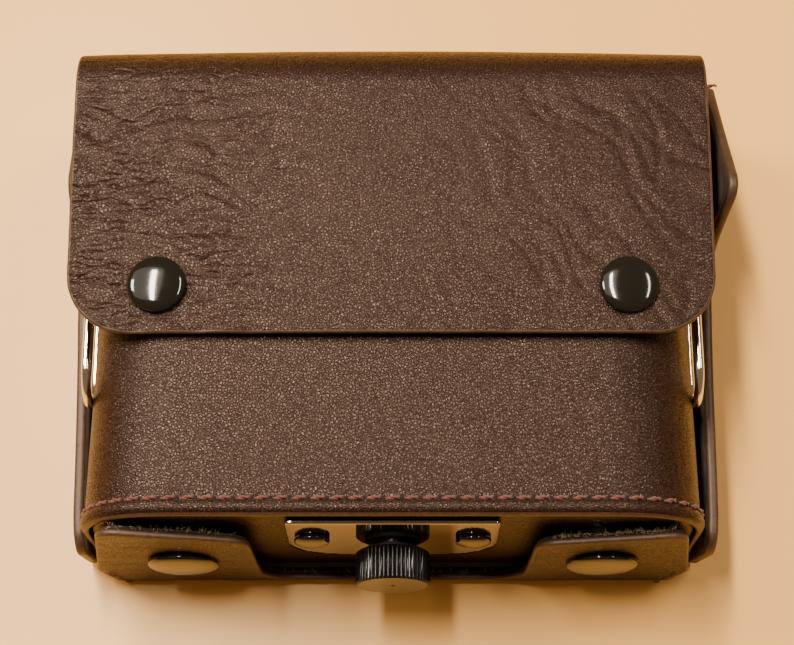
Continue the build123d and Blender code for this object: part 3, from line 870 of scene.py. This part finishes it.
def makeWing(side):
    sign = 1 if side == "right" else -1
    low = Vector((halfWidth + wingCut["gapLow"][side], baseY, backLevel))
    high = Vector((halfWidth + wingCut["gapHigh"], foldTopY, backLevel))
    along = (high - low).normalized()
    lean = math.radians(wingCut["lean"][side])
    up = Vector((math.sin(lean), 0, math.cos(lean)))
    outward = along.cross(up).normalized()
    length = (high - low).length
    earStart = ringHinge - baseY + wingCut["ringToEar"]
    edge = wingCut["edge"] - backLevel
    corners = [
        (wingCut["heel"], 0.0, 0.0),
        (wingCut["start"], edge, 5 * mm),
        (earStart, edge, 8 * mm),
        (earStart + wingCut["earSlope"], edge + wingCut["earRise"], 5 * mm),
        (length, edge + wingCut["endRise"], 2 * mm),
        (length, 0.0, 0.0),
    ]

    def bend(u, v):
        place = low + along * u + up * v
        height = max(0.0, v / (edge + wingCut["earRise"]))
        near = smoothStep((u - earStart + 12 * mm) / (22 * mm))
        out = wingCut["flare"][side] * height * height * near
        wave = 0.5 * mm * noise.noise(Vector((u * 22, v * 18, sign * 4.0))) * smoothStep(v / (15 * mm))
        tuck = -1.2 * mm * smoothStep((8 * mm - u) / (14 * mm)) * height
        place = place + outward * (out + wave + tuck)
        place.z = max(place.z, backLevel)
        return Vector((place.x * sign, place.y, place.z)), Vector((outward.x * sign, outward.y, outward.z))

    thickness = wingCut["leather"] + lining
    skin = cutSheet(f"wing_{side}_leather", corners, bend, thickness, lining,
                    [leatherSkin, edgePaint, leatherSkin], spacing=1.3 * mm, rounding=0.6 * mm)
    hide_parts(f"wing_{side}")
    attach(skin, "case")
    liner = cutSheet(f"wing_{side}_lining", corners, bend, lining, 0.0,
                     [suede], spacing=1.8 * mm, rounding=0.35 * mm, edgeSteps=3)
    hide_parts(f"wing_lining_{side}")
    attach(liner, "case")


for side in ("right", "left"):
    makeWing(side)
print("wings cut")


# ---- turned pieces: snap caps and rivets ----

def turnPiece(name, profile, place, material, segments=64, sharp=35):
    vertices, faces = [], []
    rings = []
    for radius, height in profile:
        if radius < 1e-7:
            rings.append([len(vertices)])
            vertices.append(place @ Vector((0, 0, height)))
            continue
        ring = []
        for step in range(segments):
            angle = 2 * math.pi * step / segments
            ring.append(len(vertices))
            vertices.append(place @ Vector((radius * math.cos(angle), radius * math.sin(angle), height)))
        rings.append(ring)
    for lower, upper in zip(rings, rings[1:]):
        for step in range(segments):
            after = (step + 1) % segments
            if len(lower) == 1:
                faces.append((lower[0], upper[after], upper[step]))
            elif len(upper) == 1:
                faces.append((lower[step], lower[after], upper[0]))
            else:
                faces.append((lower[step], lower[after], upper[after], upper[step]))
    piece = makeObject(name, vertices, faces, [material])
    recalc(piece)
    piece.data.set_sharp_from_angle(angle=math.radians(sharp))
    return piece


def recalc(piece):
    import bmesh
    shape = bmesh.new()
    shape.from_mesh(piece.data)
    bmesh.ops.remove_doubles(shape, verts=shape.verts, dist=1e-7)
    bmesh.ops.recalc_face_normals(shape, faces=shape.faces)
    shape.to_mesh(piece.data)
    shape.free()


def facing(centre, direction):
    return Matrix.Translation(centre) @ Vector(direction).to_track_quat("Z", "X").to_matrix().to_4x4()


def domeProfile(radius, height, rim, post, depth, power=0.85, steps=18):
    profile = [(0.0, -depth), (post, -depth), (post, 0.0), (radius - 0.35 * mm, 0.0), (radius - 0.08 * mm, 0.12 * mm)]
    for step in range(steps + 1):
        angle = math.pi / 2 * step / steps
        profile.append((radius * math.cos(angle), rim + (height - rim) * math.sin(angle) ** power))
    profile[-1] = (0.0, height)
    return profile


def centreOf(node):
    low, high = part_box(node)
    return (low + high) / 2


capLook = {"rim": 0.75 * mm, "power": 0.8, "post": 2.0 * mm}


def snapCap(node, body, axis):
    low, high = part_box(node)
    centre = (low + high) / 2
    radius = (high.x - low.x) / 2
    if axis == "up":
        seat = Vector((centre.x, centre.y, flapFace))
        # the dome follows the flap's surface, which eases down at the sides
        seat.z += flapShape(centre.x, 0, Vector((centre.x, centre.y, flapFace))).z - 0.1 * mm
        place, height = facing(seat, (0, 0, 1)), high.z - flapFace
    else:
        seat = Vector((centre.x, foldBottomY, centre.z))
        seat.y += bottomShape(centre.x, 0, seat).y + 0.1 * mm
        place, height = facing(seat, (0, -1, 0)), foldBottomY - low.y
    profile = domeProfile(radius, height, capLook["rim"], capLook["post"], leather, capLook["power"])
    piece = turnPiece(f"{node}_dome", profile, place, enamel, segments=96)
    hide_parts(node)
    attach(piece, body)


for side in ("left", "right"):
    snapCap(f"flap_snap_cap_{side}", "front_flap", "up")
    snapCap(f"bottom_snap_cap_{side}", "bottom_flap", "out")


def plateRivet(node):
    low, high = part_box(node)
    centre = (low + high) / 2
    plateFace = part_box("retaining_plate")[0].y
    place = facing(Vector((centre.x, plateFace, centre.z)), (0, -1, 0))
    profile = domeProfile((high.x - low.x) / 2, plateFace - low.y, 0.7 * mm, 1.5 * mm, 4.0 * mm, 0.8)
    piece = turnPiece(f"{node}_head", profile, place, enamel, segments=72)
    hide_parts(node)
    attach(piece, "case")


for side in ("left", "right"):
    plateRivet(f"plate_rivet_{side}")
print("snap caps and rivets turned")


# ---- retaining plate ----

plateLow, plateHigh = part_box("retaining_plate")
plateCut = {"lowerCorner": 12 * mm, "upperCorner": 1.0 * mm}


def plateBend(u, v):
    return Vector((u, plateLow.y, v)), Vector((0, -1, 0))


plate = cutSheet("platePolished", mirrorRight([
    (plateHigh.x, plateLow.z, plateCut["lowerCorner"]),
    (plateHigh.x, plateHigh.z, plateCut["upperCorner"]),
]), plateBend, 0.0, plateLow.y - plateHigh.y, [chrome], spacing=0.9 * mm, rounding=0.18 * mm, squareness=0.6)
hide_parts("retaining_plate")
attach(plate, "case")


# ---- knurled knob ----

knobCut = {"flutes": 52, "depth": 0.42 * mm, "chamfer": 0.6 * mm, "samples": 6, "pip": 0.55 * mm, "pipDepth": 0.25 * mm}
knobLow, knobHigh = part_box("retaining_knob")
knobCentre = (knobLow + knobHigh) / 2
knobRadius = 8.75 * mm


def makeKnob():
    place = facing(Vector((knobCentre.x, knobHigh.y, knobCentre.z)), (0, -1, 0))
    length = knobHigh.y - knobLow.y
    segments = knobCut["flutes"] * knobCut["samples"]
    chamfer = knobCut["chamfer"]
    stations = [(0.0, 0.0, 0), (3.4 * mm, 0.0, 0), (knobRadius - chamfer, 0.0, 0), (knobRadius, chamfer * 0.8, 1),
                (knobRadius, length - chamfer * 0.8, 1), (knobRadius - chamfer, length, 0),
                (knobCut["pip"], length, 0), (knobCut["pip"] * 0.5, length - knobCut["pipDepth"], 0),
                (0.0, length - knobCut["pipDepth"], 0)]
    vertices, faces, rings = [], [], []
    for radius, height, fluted in stations:
        if radius < 1e-7:
            rings.append([len(vertices)])
            vertices.append(place @ Vector((0, 0, height)))
            continue
        ring = []
        for step in range(segments):
            phase = (step % knobCut["samples"]) / knobCut["samples"]
            dip = knobCut["depth"] * (0.5 - 0.5 * math.cos(2 * math.pi * phase)) ** 1.5 if fluted else 0.0
            angle = 2 * math.pi * step / segments
            reach = radius - dip
            ring.append(len(vertices))
            vertices.append(place @ Vector((reach * math.cos(angle), reach * math.sin(angle), height)))
        rings.append(ring)
    for lower, upper in zip(rings, rings[1:]):
        for step in range(segments):
            after = (step + 1) % segments
            if len(lower) == 1:
                faces.append((lower[0], upper[after], upper[step]))
            elif len(upper) == 1:
                faces.append((lower[step], lower[after], upper[0]))
            else:
                faces.append((lower[step], lower[after], upper[after], upper[step]))
    piece = makeObject("knobKnurled", vertices, faces, [knobBlack])
    recalc(piece)
    piece.data.set_sharp_from_angle(angle=math.radians(38))
    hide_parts("retaining_knob")
    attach(piece, "retaining_screw")


makeKnob()
print("plate and knob made")


# ---- strap rings and chapes ----

ringCut = {"wire": 1.1 * mm, "hingeCorner": 3.0 * mm, "sides": 24}


def makeRing(side):
    low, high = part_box(f"strap_ring_{side}")
    wire = ringCut["wire"]
    centreX, centreZ = (low.x + high.x) / 2, (low.z + high.z) / 2
    across = (high.z - low.z) / 2 - wire
    top, bottom = high.y - wire, low.y + wire
    corners = [(across, top, ringCut["hingeCorner"]), (across, bottom, across * 0.999),
               (-across, bottom, across * 0.999), (-across, top, ringCut["hingeCorner"])]
    path = roundedOutline(corners, 0.6 * mm)
    count, sides = len(path), ringCut["sides"]
    vertices, faces = [], []
    for index, point in enumerate(path):
        along = (path[(index + 1) % count] - path[index - 1]).normalized()
        out = Vector((along.y, -along.x))
        for step in range(sides):
            angle = 2 * math.pi * step / sides
            flat = point + out * wire * math.cos(angle)
            vertices.append(Vector((centreX + wire * math.sin(angle), flat.y, centreZ + flat.x)))
    for index in range(count):
        following = (index + 1) % count
        for step in range(sides):
            after = (step + 1) % sides
            faces.append((index * sides + step, following * sides + step,
                          following * sides + after, index * sides + after))
    piece = makeObject(f"ring_{side}_wire", vertices, faces, [ringChrome])
    recalc(piece)
    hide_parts(f"strap_ring_{side}")
    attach(piece, f"ring_{side}")
    return centreX, top, centreZ


chapeCut = {"tab": 17.5 * mm, "halfTab": 6.5 * mm, "halfLoop": 4.0 * mm, "bore": 1.18 * mm, "wall": 0.8 * mm}


def makeChape(side):
    sign = 1 if side == "right" else -1
    hingeX, hingeY, centreZ = makeRing(side)
    reach = chapeCut["bore"] + chapeCut["wall"]
    wrap = reach * math.radians(250)
    tab = chapeCut["tab"]
    corners = [
        (-chapeCut["halfLoop"], -wrap, 0.8 * mm), (chapeCut["halfLoop"], -wrap, 0.8 * mm),
        (chapeCut["halfLoop"], reach, 1.0 * mm), (chapeCut["halfTab"], chapeCut["halfTab"], 2 * mm),
        (chapeCut["halfTab"], tab, 4 * mm), (-chapeCut["halfTab"], tab, 4 * mm),
        (-chapeCut["halfTab"], chapeCut["halfTab"], 2 * mm), (-chapeCut["halfLoop"], reach, 1.0 * mm),
    ]
    distances = np.linspace(flatHalf, wallHalfLength, 400)
    heights = [profileAt(far)[1] for far in distances]

    def bend(u, v):
        # v runs from inside the loop, round the ring's bar, and along the side wall
        if v < 0:
            angle = v / reach
            lift = reach * math.cos(angle)
            y = hingeY + reach * math.sin(angle)
            normal = Vector((sign * math.cos(angle), math.sin(angle), 0))
            place = Vector((hingeX + sign * lift, y, centreZ + u))
            return place, normal
        hug = smoothStep((v - 1.5 * mm) / (6 * mm))
        wall, wallNormal = wallPlace(float(np.interp(-(centreZ + u), [-h for h in heights], distances)))
        onWall = Vector((sign * wall.x, hingeY + v, wall.z)) + Vector((sign * wallNormal.x, 0, wallNormal.z)) * (leather + 0.3 * mm)
        straight = Vector((hingeX + sign * reach, hingeY + v, centreZ + u))
        normal = Vector((sign, 0, 0)).lerp(Vector((sign * wallNormal.x, 0, wallNormal.z)), hug).normalized()
        return straight.lerp(onWall, hug), normal

    piece = cutSheet(f"chape_{side}_leather", corners, bend, 0.0, -chapeCut["wall"],
                     [leatherSkin, edgePaint, leatherSkin], spacing=0.7 * mm, rounding=0.3 * mm)
    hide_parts(f"ring_chape_{side}")
    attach(piece, "case")
    rivet = f"chape_rivet_{side}"
    low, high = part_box(rivet)
    angle = math.asin((centreZ - (bodyTop - wallCut["cornerRadius"])) / wallCut["cornerRadius"])
    direction = Vector((sign * math.cos(angle), 0, math.sin(angle)))
    centre = Vector((sign * flatHalf, (low.y + high.y) / 2, bodyTop - wallCut["cornerRadius"]))
    seat = centre + direction * (wallCut["cornerRadius"] + leather)
    profile = domeProfile(3.2 * mm, 1.5 * mm, 0.4 * mm, 1.5 * mm, 3.5 * mm, 0.85)
    head = turnPiece(f"{rivet}_head", profile, facing(seat, direction), nickel, segments=56)
    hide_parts(rivet)
    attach(head, "case")


for side in ("right", "left"):
    makeChape(side)
print("rings and chapes made")


# ---- CAD pieces that keep their shape ----

keptNodes = {
    "screw_washer": fibre, "retaining_stud": nickel, "retaining_clip": nickel,
}
for side in ("left", "right"):
    keptNodes[f"plate_rivet_washer_{side}"] = nickel
    keptNodes[f"chape_washer_{side}"] = nickel
    for place in ("flap", "bottom"):
        keptNodes[f"{place}_snap_socket_{side}"] = nickel
        keptNodes[f"{place}_snap_spring_{side}"] = brassSpring
    for place in ("front", "base"):
        keptNodes[f"{place}_snap_stud_{side}"] = nickel
        keptNodes[f"{place}_snap_eyelet_{side}"] = nickel
for node, material in keptNodes.items():
    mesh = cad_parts[node].data
    mesh.materials.clear()
    mesh.materials.append(material)


# ---- stitches, made by a node tree ----

def stitchShape():
    # two plies twisted round each other, one unit long
    rings, sides, turns = 9, 6, 1.15
    vertices, faces = [], []
    for ply in range(2):
        begin = len(vertices)
        for ring in range(rings):
            t = ring / (rings - 1)
            turn = 2 * math.pi * turns * t + math.pi * ply
            taper = math.sin(math.pi * (0.06 + 0.88 * t)) ** 0.35
            centre = Vector((t - 0.5, 0.22 * taper * math.cos(turn), 0.22 * taper * math.sin(turn)))
            centre.z -= 0.75 * (2 * t - 1) ** 4
            for side in range(sides):
                angle = 2 * math.pi * side / sides
                vertices.append(centre + Vector((0, math.cos(angle), math.sin(angle))) * 0.3 * taper)
        for ring in range(rings - 1):
            for side in range(sides):
                after = (side + 1) % sides
                here, ahead = begin + ring * sides, begin + (ring + 1) * sides
                faces.append((here + side, here + after, ahead + after, ahead + side))
        faces.append(tuple(begin + side for side in reversed(range(sides))))
        faces.append(tuple(begin + (rings - 1) * sides + side for side in range(sides)))
    piece = makeObject("stitchUnit", vertices, faces, [thread])
    recalc(piece)
    return piece


def scatterTree(name, material):
    tree = bpy.data.node_groups.new(name, "GeometryNodeTree")
    sockets = tree.interface
    sockets.new_socket("Geometry", in_out="INPUT", socket_type="NodeSocketGeometry")
    unit = sockets.new_socket("Unit", in_out="INPUT", socket_type="NodeSocketObject")
    length = sockets.new_socket("Length", in_out="INPUT", socket_type="NodeSocketFloat")
    thickness = sockets.new_socket("Thickness", in_out="INPUT", socket_type="NodeSocketFloat")
    wobble = sockets.new_socket("Wobble", in_out="INPUT", socket_type="NodeSocketFloat")
    seed = sockets.new_socket("Seed", in_out="INPUT", socket_type="NodeSocketInt")
    sockets.new_socket("Geometry", in_out="OUTPUT", socket_type="NodeSocketGeometry")
    source = tree.nodes.new("NodeGroupInput")
    result = tree.nodes.new("NodeGroupOutput")
    along = tree.nodes.new("GeometryNodeInputNamedAttribute")
    along.data_type = "FLOAT_VECTOR"
    along.inputs["Name"].default_value = "along"
    up = tree.nodes.new("GeometryNodeInputNamedAttribute")
    up.data_type = "FLOAT_VECTOR"
    up.inputs["Name"].default_value = "up"
    turnAlong = tree.nodes.new("FunctionNodeAlignRotationToVector")
    turnAlong.axis = "X"
    turnUp = tree.nodes.new("FunctionNodeAlignRotationToVector")
    turnUp.axis = "Z"
    turnUp.pivot_axis = "X"
    randomTurn = tree.nodes.new("FunctionNodeRandomValue")
    randomTurn.data_type = "FLOAT_VECTOR"
    spin = tree.nodes.new("FunctionNodeEulerToRotation")
    rotate = tree.nodes.new("FunctionNodeRotateRotation")
    rotate.rotation_space = "LOCAL"
    minusWobble = tree.nodes.new("ShaderNodeMath")
    minusWobble.operation = "MULTIPLY"
    minusWobble.inputs[1].default_value = -1.0
    size = tree.nodes.new("ShaderNodeCombineXYZ")
    info = tree.nodes.new("GeometryNodeObjectInfo")
    place = tree.nodes.new("GeometryNodeInstanceOnPoints")
    realize = tree.nodes.new("GeometryNodeRealizeInstances")
    paint = tree.nodes.new("GeometryNodeSetMaterial")
    paint.inputs["Material"].default_value = material
    link = tree.links.new
    link(source.outputs["Geometry"], place.inputs["Points"])
    link(source.outputs["Unit"], info.inputs["Object"])
    link(info.outputs["Geometry"], place.inputs["Instance"])
    link(along.outputs["Attribute"], turnAlong.inputs["Vector"])
    link(turnAlong.outputs["Rotation"], turnUp.inputs["Rotation"])
    link(up.outputs["Attribute"], turnUp.inputs["Vector"])
    link(source.outputs["Wobble"], randomTurn.inputs[1])
    link(source.outputs["Wobble"], minusWobble.inputs[0])
    link(minusWobble.outputs[0], randomTurn.inputs[0])
    link(source.outputs["Seed"], randomTurn.inputs["Seed"])
    link(randomTurn.outputs[0], spin.inputs[0])
    link(turnUp.outputs["Rotation"], rotate.inputs[0])
    link(spin.outputs[0], rotate.inputs[1])
    link(rotate.outputs[0], place.inputs["Rotation"])
    link(source.outputs["Length"], size.inputs["X"])
    link(source.outputs["Thickness"], size.inputs["Y"])
    link(source.outputs["Thickness"], size.inputs["Z"])
    link(size.outputs["Vector"], place.inputs["Scale"])
    link(place.outputs["Instances"], realize.inputs["Geometry"])
    link(realize.outputs["Geometry"], paint.inputs["Geometry"])
    link(paint.outputs["Geometry"], result.inputs["Geometry"])
    return tree, {"Unit": unit.identifier, "Length": length.identifier, "Thickness": thickness.identifier,
                  "Wobble": wobble.identifier, "Seed": seed.identifier}


def scatter(name, places, unit, treeAndInputs, length, thickness, wobble, seed):
    tree, inputs = treeAndInputs
    mesh = bpy.data.meshes.new(name + "Places")
    mesh.from_pydata([tuple(place) for place, _, _ in places], [], [])
    for label, column in (("along", 1), ("up", 2)):
        attribute = mesh.attributes.new(label, "FLOAT_VECTOR", "POINT")
        attribute.data.foreach_set("vector", [c for row in places for c in row[column]])
    carrier = bpy.data.objects.new(name + "Places", mesh)
    bpy.context.scene.collection.objects.link(carrier)
    modifier = carrier.modifiers.new("scatter", "NODES")
    modifier.node_group = tree
    modifier[inputs["Unit"]] = unit
    modifier[inputs["Length"]] = length
    modifier[inputs["Thickness"]] = thickness
    modifier[inputs["Wobble"]] = wobble
    modifier[inputs["Seed"]] = seed
    bpy.context.view_layer.update()
    evaluated = carrier.evaluated_get(bpy.context.evaluated_depsgraph_get())
    result = bpy.data.meshes.new_from_object(evaluated)
    result.name = name
    piece = bpy.data.objects.new(name, result)
    bpy.context.scene.collection.objects.link(piece)
    bpy.data.objects.remove(carrier)
    result.polygons.foreach_set("use_smooth", [True] * len(result.polygons))
    return piece


def holeShape():
    # a flattened dark bead, painted shade that reads as the mouth of a needle hole
    rings, sides = 5, 10
    vertices, faces = [Vector((0, 0, -0.35))], []
    for ring in range(1, rings):
        t = math.pi * ring / rings
        for side in range(sides):
            angle = 2 * math.pi * side / sides
            vertices.append(Vector((math.sin(t) * math.cos(angle), math.sin(t) * math.sin(angle), -0.35 * math.cos(t))))
    vertices.append(Vector((0, 0, 0.35)))
    for side in range(sides):
        after = (side + 1) % sides
        faces.append((0, 1 + after, 1 + side))
        for ring in range(rings - 2):
            here, above = 1 + ring * sides, 1 + (ring + 1) * sides
            faces.append((here + side, here + after, above + after, above + side))
        faces.append((1 + (rings - 2) * sides + side, 1 + (rings - 2) * sides + after, len(vertices) - 1))
    piece = makeObject("holeUnit", vertices, faces, [needleHole])
    recalc(piece)
    return piece


def stepsAlong(bend, begin, end, pitch, lift):
    # even places on a bent sheet between two flat points
    begin, end = Vector(begin), Vector(end)
    count = max(1, round((end - begin).length / pitch))
    rows = []
    for index in range(count):
        middle = begin.lerp(end, (index + 0.5) / count)
        ahead = begin.lerp(end, (index + 0.6) / count)
        place, normal = bend(middle.x, middle.y)
        following, _ = bend(ahead.x, ahead.y)
        forward = (following - place).normalized()
        forward += normal.cross(forward) * seamCut["slant"]
        rows.append((place + normal * lift, forward.normalized(), normal))
    return rows


seamCut = {"pitch": 4.15 * mm, "length": 4.0 * mm, "thickness": 1.15 * mm, "lift": 0.32 * mm, "wobble": 0.07,
           "hole": 0.5 * mm, "slant": 0.11}
stitchUnit = stitchShape()
stitchTree = scatterTree("stitches", thread)
seamY = baseY + wallCut["seamHeight"]
seamEnd = wallHalfLength - 3 * mm
# one cut end of thread sticks out beside the right ear
looseEnd = (Vector((81.3 * mm, foldTopY + 0.6 * mm, 29.3 * mm)), Vector((1.0, 0.28, 0.12)).normalized(), Vector((0, 0, 1)))
wallStitches = scatter("seam_front_thread",
                       stepsAlong(wallBend, (-seamEnd, seamY), (seamEnd, seamY), seamCut["pitch"], seamCut["lift"])
                       + [looseEnd],
                       stitchUnit, stitchTree, seamCut["length"], seamCut["thickness"], seamCut["wobble"], 3)
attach(wallStitches, "case")
# dark beads between the stitches, painted shade in the needle holes
holeUnit = holeShape()
holeTree = scatterTree("needleHoles", needleHole)
halfPitch = seamCut["pitch"] / 2
wallHoles = scatter("seam_front_holes",
                    stepsAlong(wallBend, (-seamEnd - halfPitch, seamY), (seamEnd + halfPitch, seamY),
                               seamCut["pitch"], 0.1 * mm),
                    holeUnit, holeTree, seamCut["hole"], seamCut["hole"], 0.0, 4)
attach(wallHoles, "case")
bpy.data.objects.remove(holeUnit)

cornerSeams = []
for sign in (-1, 1):
    hipTop = (sign * (bottomHalf + bottomCut["hip"] - 2.6 * mm), bottomRise + bottomCut["hipHeight"] - 1 * mm)
    hipFoot = (sign * (bottomHalf - 3 * mm), bottomFlat + 3.5 * mm)
    cornerSeams += stepsAlong(bottomBend, hipTop, hipFoot, 3.6 * mm, seamCut["lift"])
cornerSeams += stepsAlong(bottomBend, (-bottomHalf + 9 * mm, bottomFlat + 2.2 * mm),
                          (bottomHalf - 9 * mm, bottomFlat + 2.2 * mm), 4.15 * mm, seamCut["lift"])
foldStitches = scatter("seam_bottom_thread", cornerSeams, stitchUnit, stitchTree,
                       3.3 * mm, 0.45 * mm, seamCut["wobble"], 5)
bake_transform(foldStitches)
bpy.data.objects.remove(stitchUnit)
print("seams sewn")


# ---- loose fibres of the lining along the tab edges ----

def hairShape():
    rings = 5
    vertices, faces = [], []
    for ring in range(rings):
        t = ring / (rings - 1)
        centre = Vector((t, 0.0, 0.28 * t * t))
        for side in range(3):
            angle = 2 * math.pi * side / 3
            vertices.append(centre + Vector((0, math.cos(angle), math.sin(angle))) * (0.5 * (1 - 0.8 * t)))
    for ring in range(rings - 1):
        for side in range(3):
            after = (side + 1) % 3
            faces.append((ring * 3 + side, ring * 3 + after, ring * 3 + 3 + after, ring * 3 + 3 + side))
    faces.append((2, 1, 0))
    faces.append((rings * 3 - 3, rings * 3 - 2, rings * 3 - 1))
    piece = makeObject("hairUnit", vertices, faces, [fuzzFibre])
    recalc(piece)
    return piece


fuzzCut = {"count": 210, "length": 1.3 * mm, "thickness": 0.1 * mm, "wobble": 0.7}


def tabFuzz():
    rng = random.Random(11)
    rows = []
    for index in range(fuzzCut["count"]):
        side = "left" if index % 4 == 0 else "right"
        share = rng.random()
        u = bottomCut["notchHalf"] + 5 * mm + share * (bottomHalf - bottomCut["notchHalf"] - 8 * mm)
        outer, inner = bottomCut[f"{side}Tab"]
        v = bottomRise + inner + (outer - inner) * (u - bottomCut["notchHalf"]) / (bottomHalf - bottomCut["notchHalf"]) - 0.7 * mm
        u = u if side == "right" else -u
        place, normal = bottomBend(u, v)
        place = place - normal * (leather + rng.uniform(0.1, 1.0) * lining)
        up = Vector((rng.uniform(-0.7, 0.7), rng.uniform(-0.2, 0.6), 1.0)).normalized()
        rows.append((place, up, normal))
    for index in range(fuzzCut["count"] // 4):
        u = rng.uniform(-bottomCut["notchHalf"] + 4 * mm, bottomCut["notchHalf"] - 4 * mm)
        place, normal = bottomBend(u, bottomRise + bottomCut["notchFloor"] - 0.7 * mm)
        place = place - normal * (leather + rng.uniform(0.1, 1.0) * lining)
        up = Vector((rng.uniform(-0.7, 0.7), rng.uniform(-0.2, 0.6), 1.0)).normalized()
        rows.append((place, up, normal))
    return rows


hairUnit = hairShape()
hairTree = scatterTree("liningFibres", fuzzFibre)
fibres = scatter("tab_lining_fibres", tabFuzz(), hairUnit, hairTree,
                 fuzzCut["length"], fuzzCut["thickness"], fuzzCut["wobble"], 8)
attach(fibres, "bottom_flap")
bpy.data.objects.remove(hairUnit)
print("fibres placed")


# ---- floor, lights and camera ----

studio = {"floor": (1.0, 0.51, 0.12), "world": (0.90, 0.62, 0.38), "worldStrength": 0.24}


def makeFloor():
    mesh = bpy.data.meshes.new("floor")
    size = 3.0
    mesh.from_pydata([(-size, -size, 0), (size, -size, 0), (size, size, 0), (-size, size, 0)], [], [(0, 1, 2, 3)])
    material, tree, shader = newMaterial("paleFloor")
    shader.inputs["Base Color"].default_value = (*studio["floor"], 1)
    shader.inputs["Roughness"].default_value = 0.38
    mesh.materials.append(material)
    floor = bpy.data.objects.new("floor", mesh)
    bpy.context.scene.collection.objects.link(floor)
    floor.location.z = -0.0002


def areaLight(name, place, target, size, power, colour, sizeY=None):
    data = bpy.data.lights.new(name, "AREA")
    data.energy = power
    data.color = colour
    data.shape = "RECTANGLE"
    data.size = size
    data.size_y = sizeY or size
    light = bpy.data.objects.new(name, data)
    bpy.context.scene.collection.objects.link(light)
    light.location = place
    # the long side of every light lies along Y
    back = (Vector(place) - Vector(target)).normalized()
    long = (Vector((0, 1, 0)) - back * back.y).normalized()
    light.rotation_euler = Matrix((long.cross(back), long, back)).transposed().to_euler()


def makeCamera():
    data = bpy.data.cameras.new("camera")
    data.lens = 86.15
    data.sensor_width = 36.0
    data.clip_start = 0.01
    camera = bpy.data.objects.new("camera", data)
    bpy.context.scene.collection.objects.link(camera)
    target = Vector((1.0 * mm, -10.3 * mm, 50 * mm))
    distance, tilt = 444.17 * mm, math.radians(20.07)
    camera.location = target + distance * Vector((0, -math.sin(tilt), math.cos(tilt)))
    camera.rotation_euler = (target - camera.location).to_track_quat("-Z", "Y").to_euler()
    bpy.context.scene.camera = camera


makeFloor()
areaLight("tubeLeft", (-0.25, 0.30, 1.15), (-0.02, 0, 0.05), 0.09, 22.0, (1.0, 0.90, 0.72), 0.75)
areaLight("tubeRight", (0.66, 0.30, 1.05), (0, 0, 0.05), 0.05, 6.0, (1.0, 0.92, 0.78), 0.7)
areaLight("softLeft", (-0.50, 0.34, 1.06), (0, 0, 0.03), 0.9, 3.5, (1.0, 0.88, 0.72))
areaLight("windowLeft", (-0.76, 0.30, 0.80), (0, 0, 0.03), 0.16, 7.0, (1.0, 0.92, 0.80), 0.3)
world = bpy.data.worlds.new("softWorld")
world.use_nodes = True
background = world.node_tree.nodes["Background"]
background.inputs["Color"].default_value = (*studio["world"], 1)
background.inputs["Strength"].default_value = studio["worldStrength"]
bpy.context.scene.world = world
makeCamera()

print("scene ready")
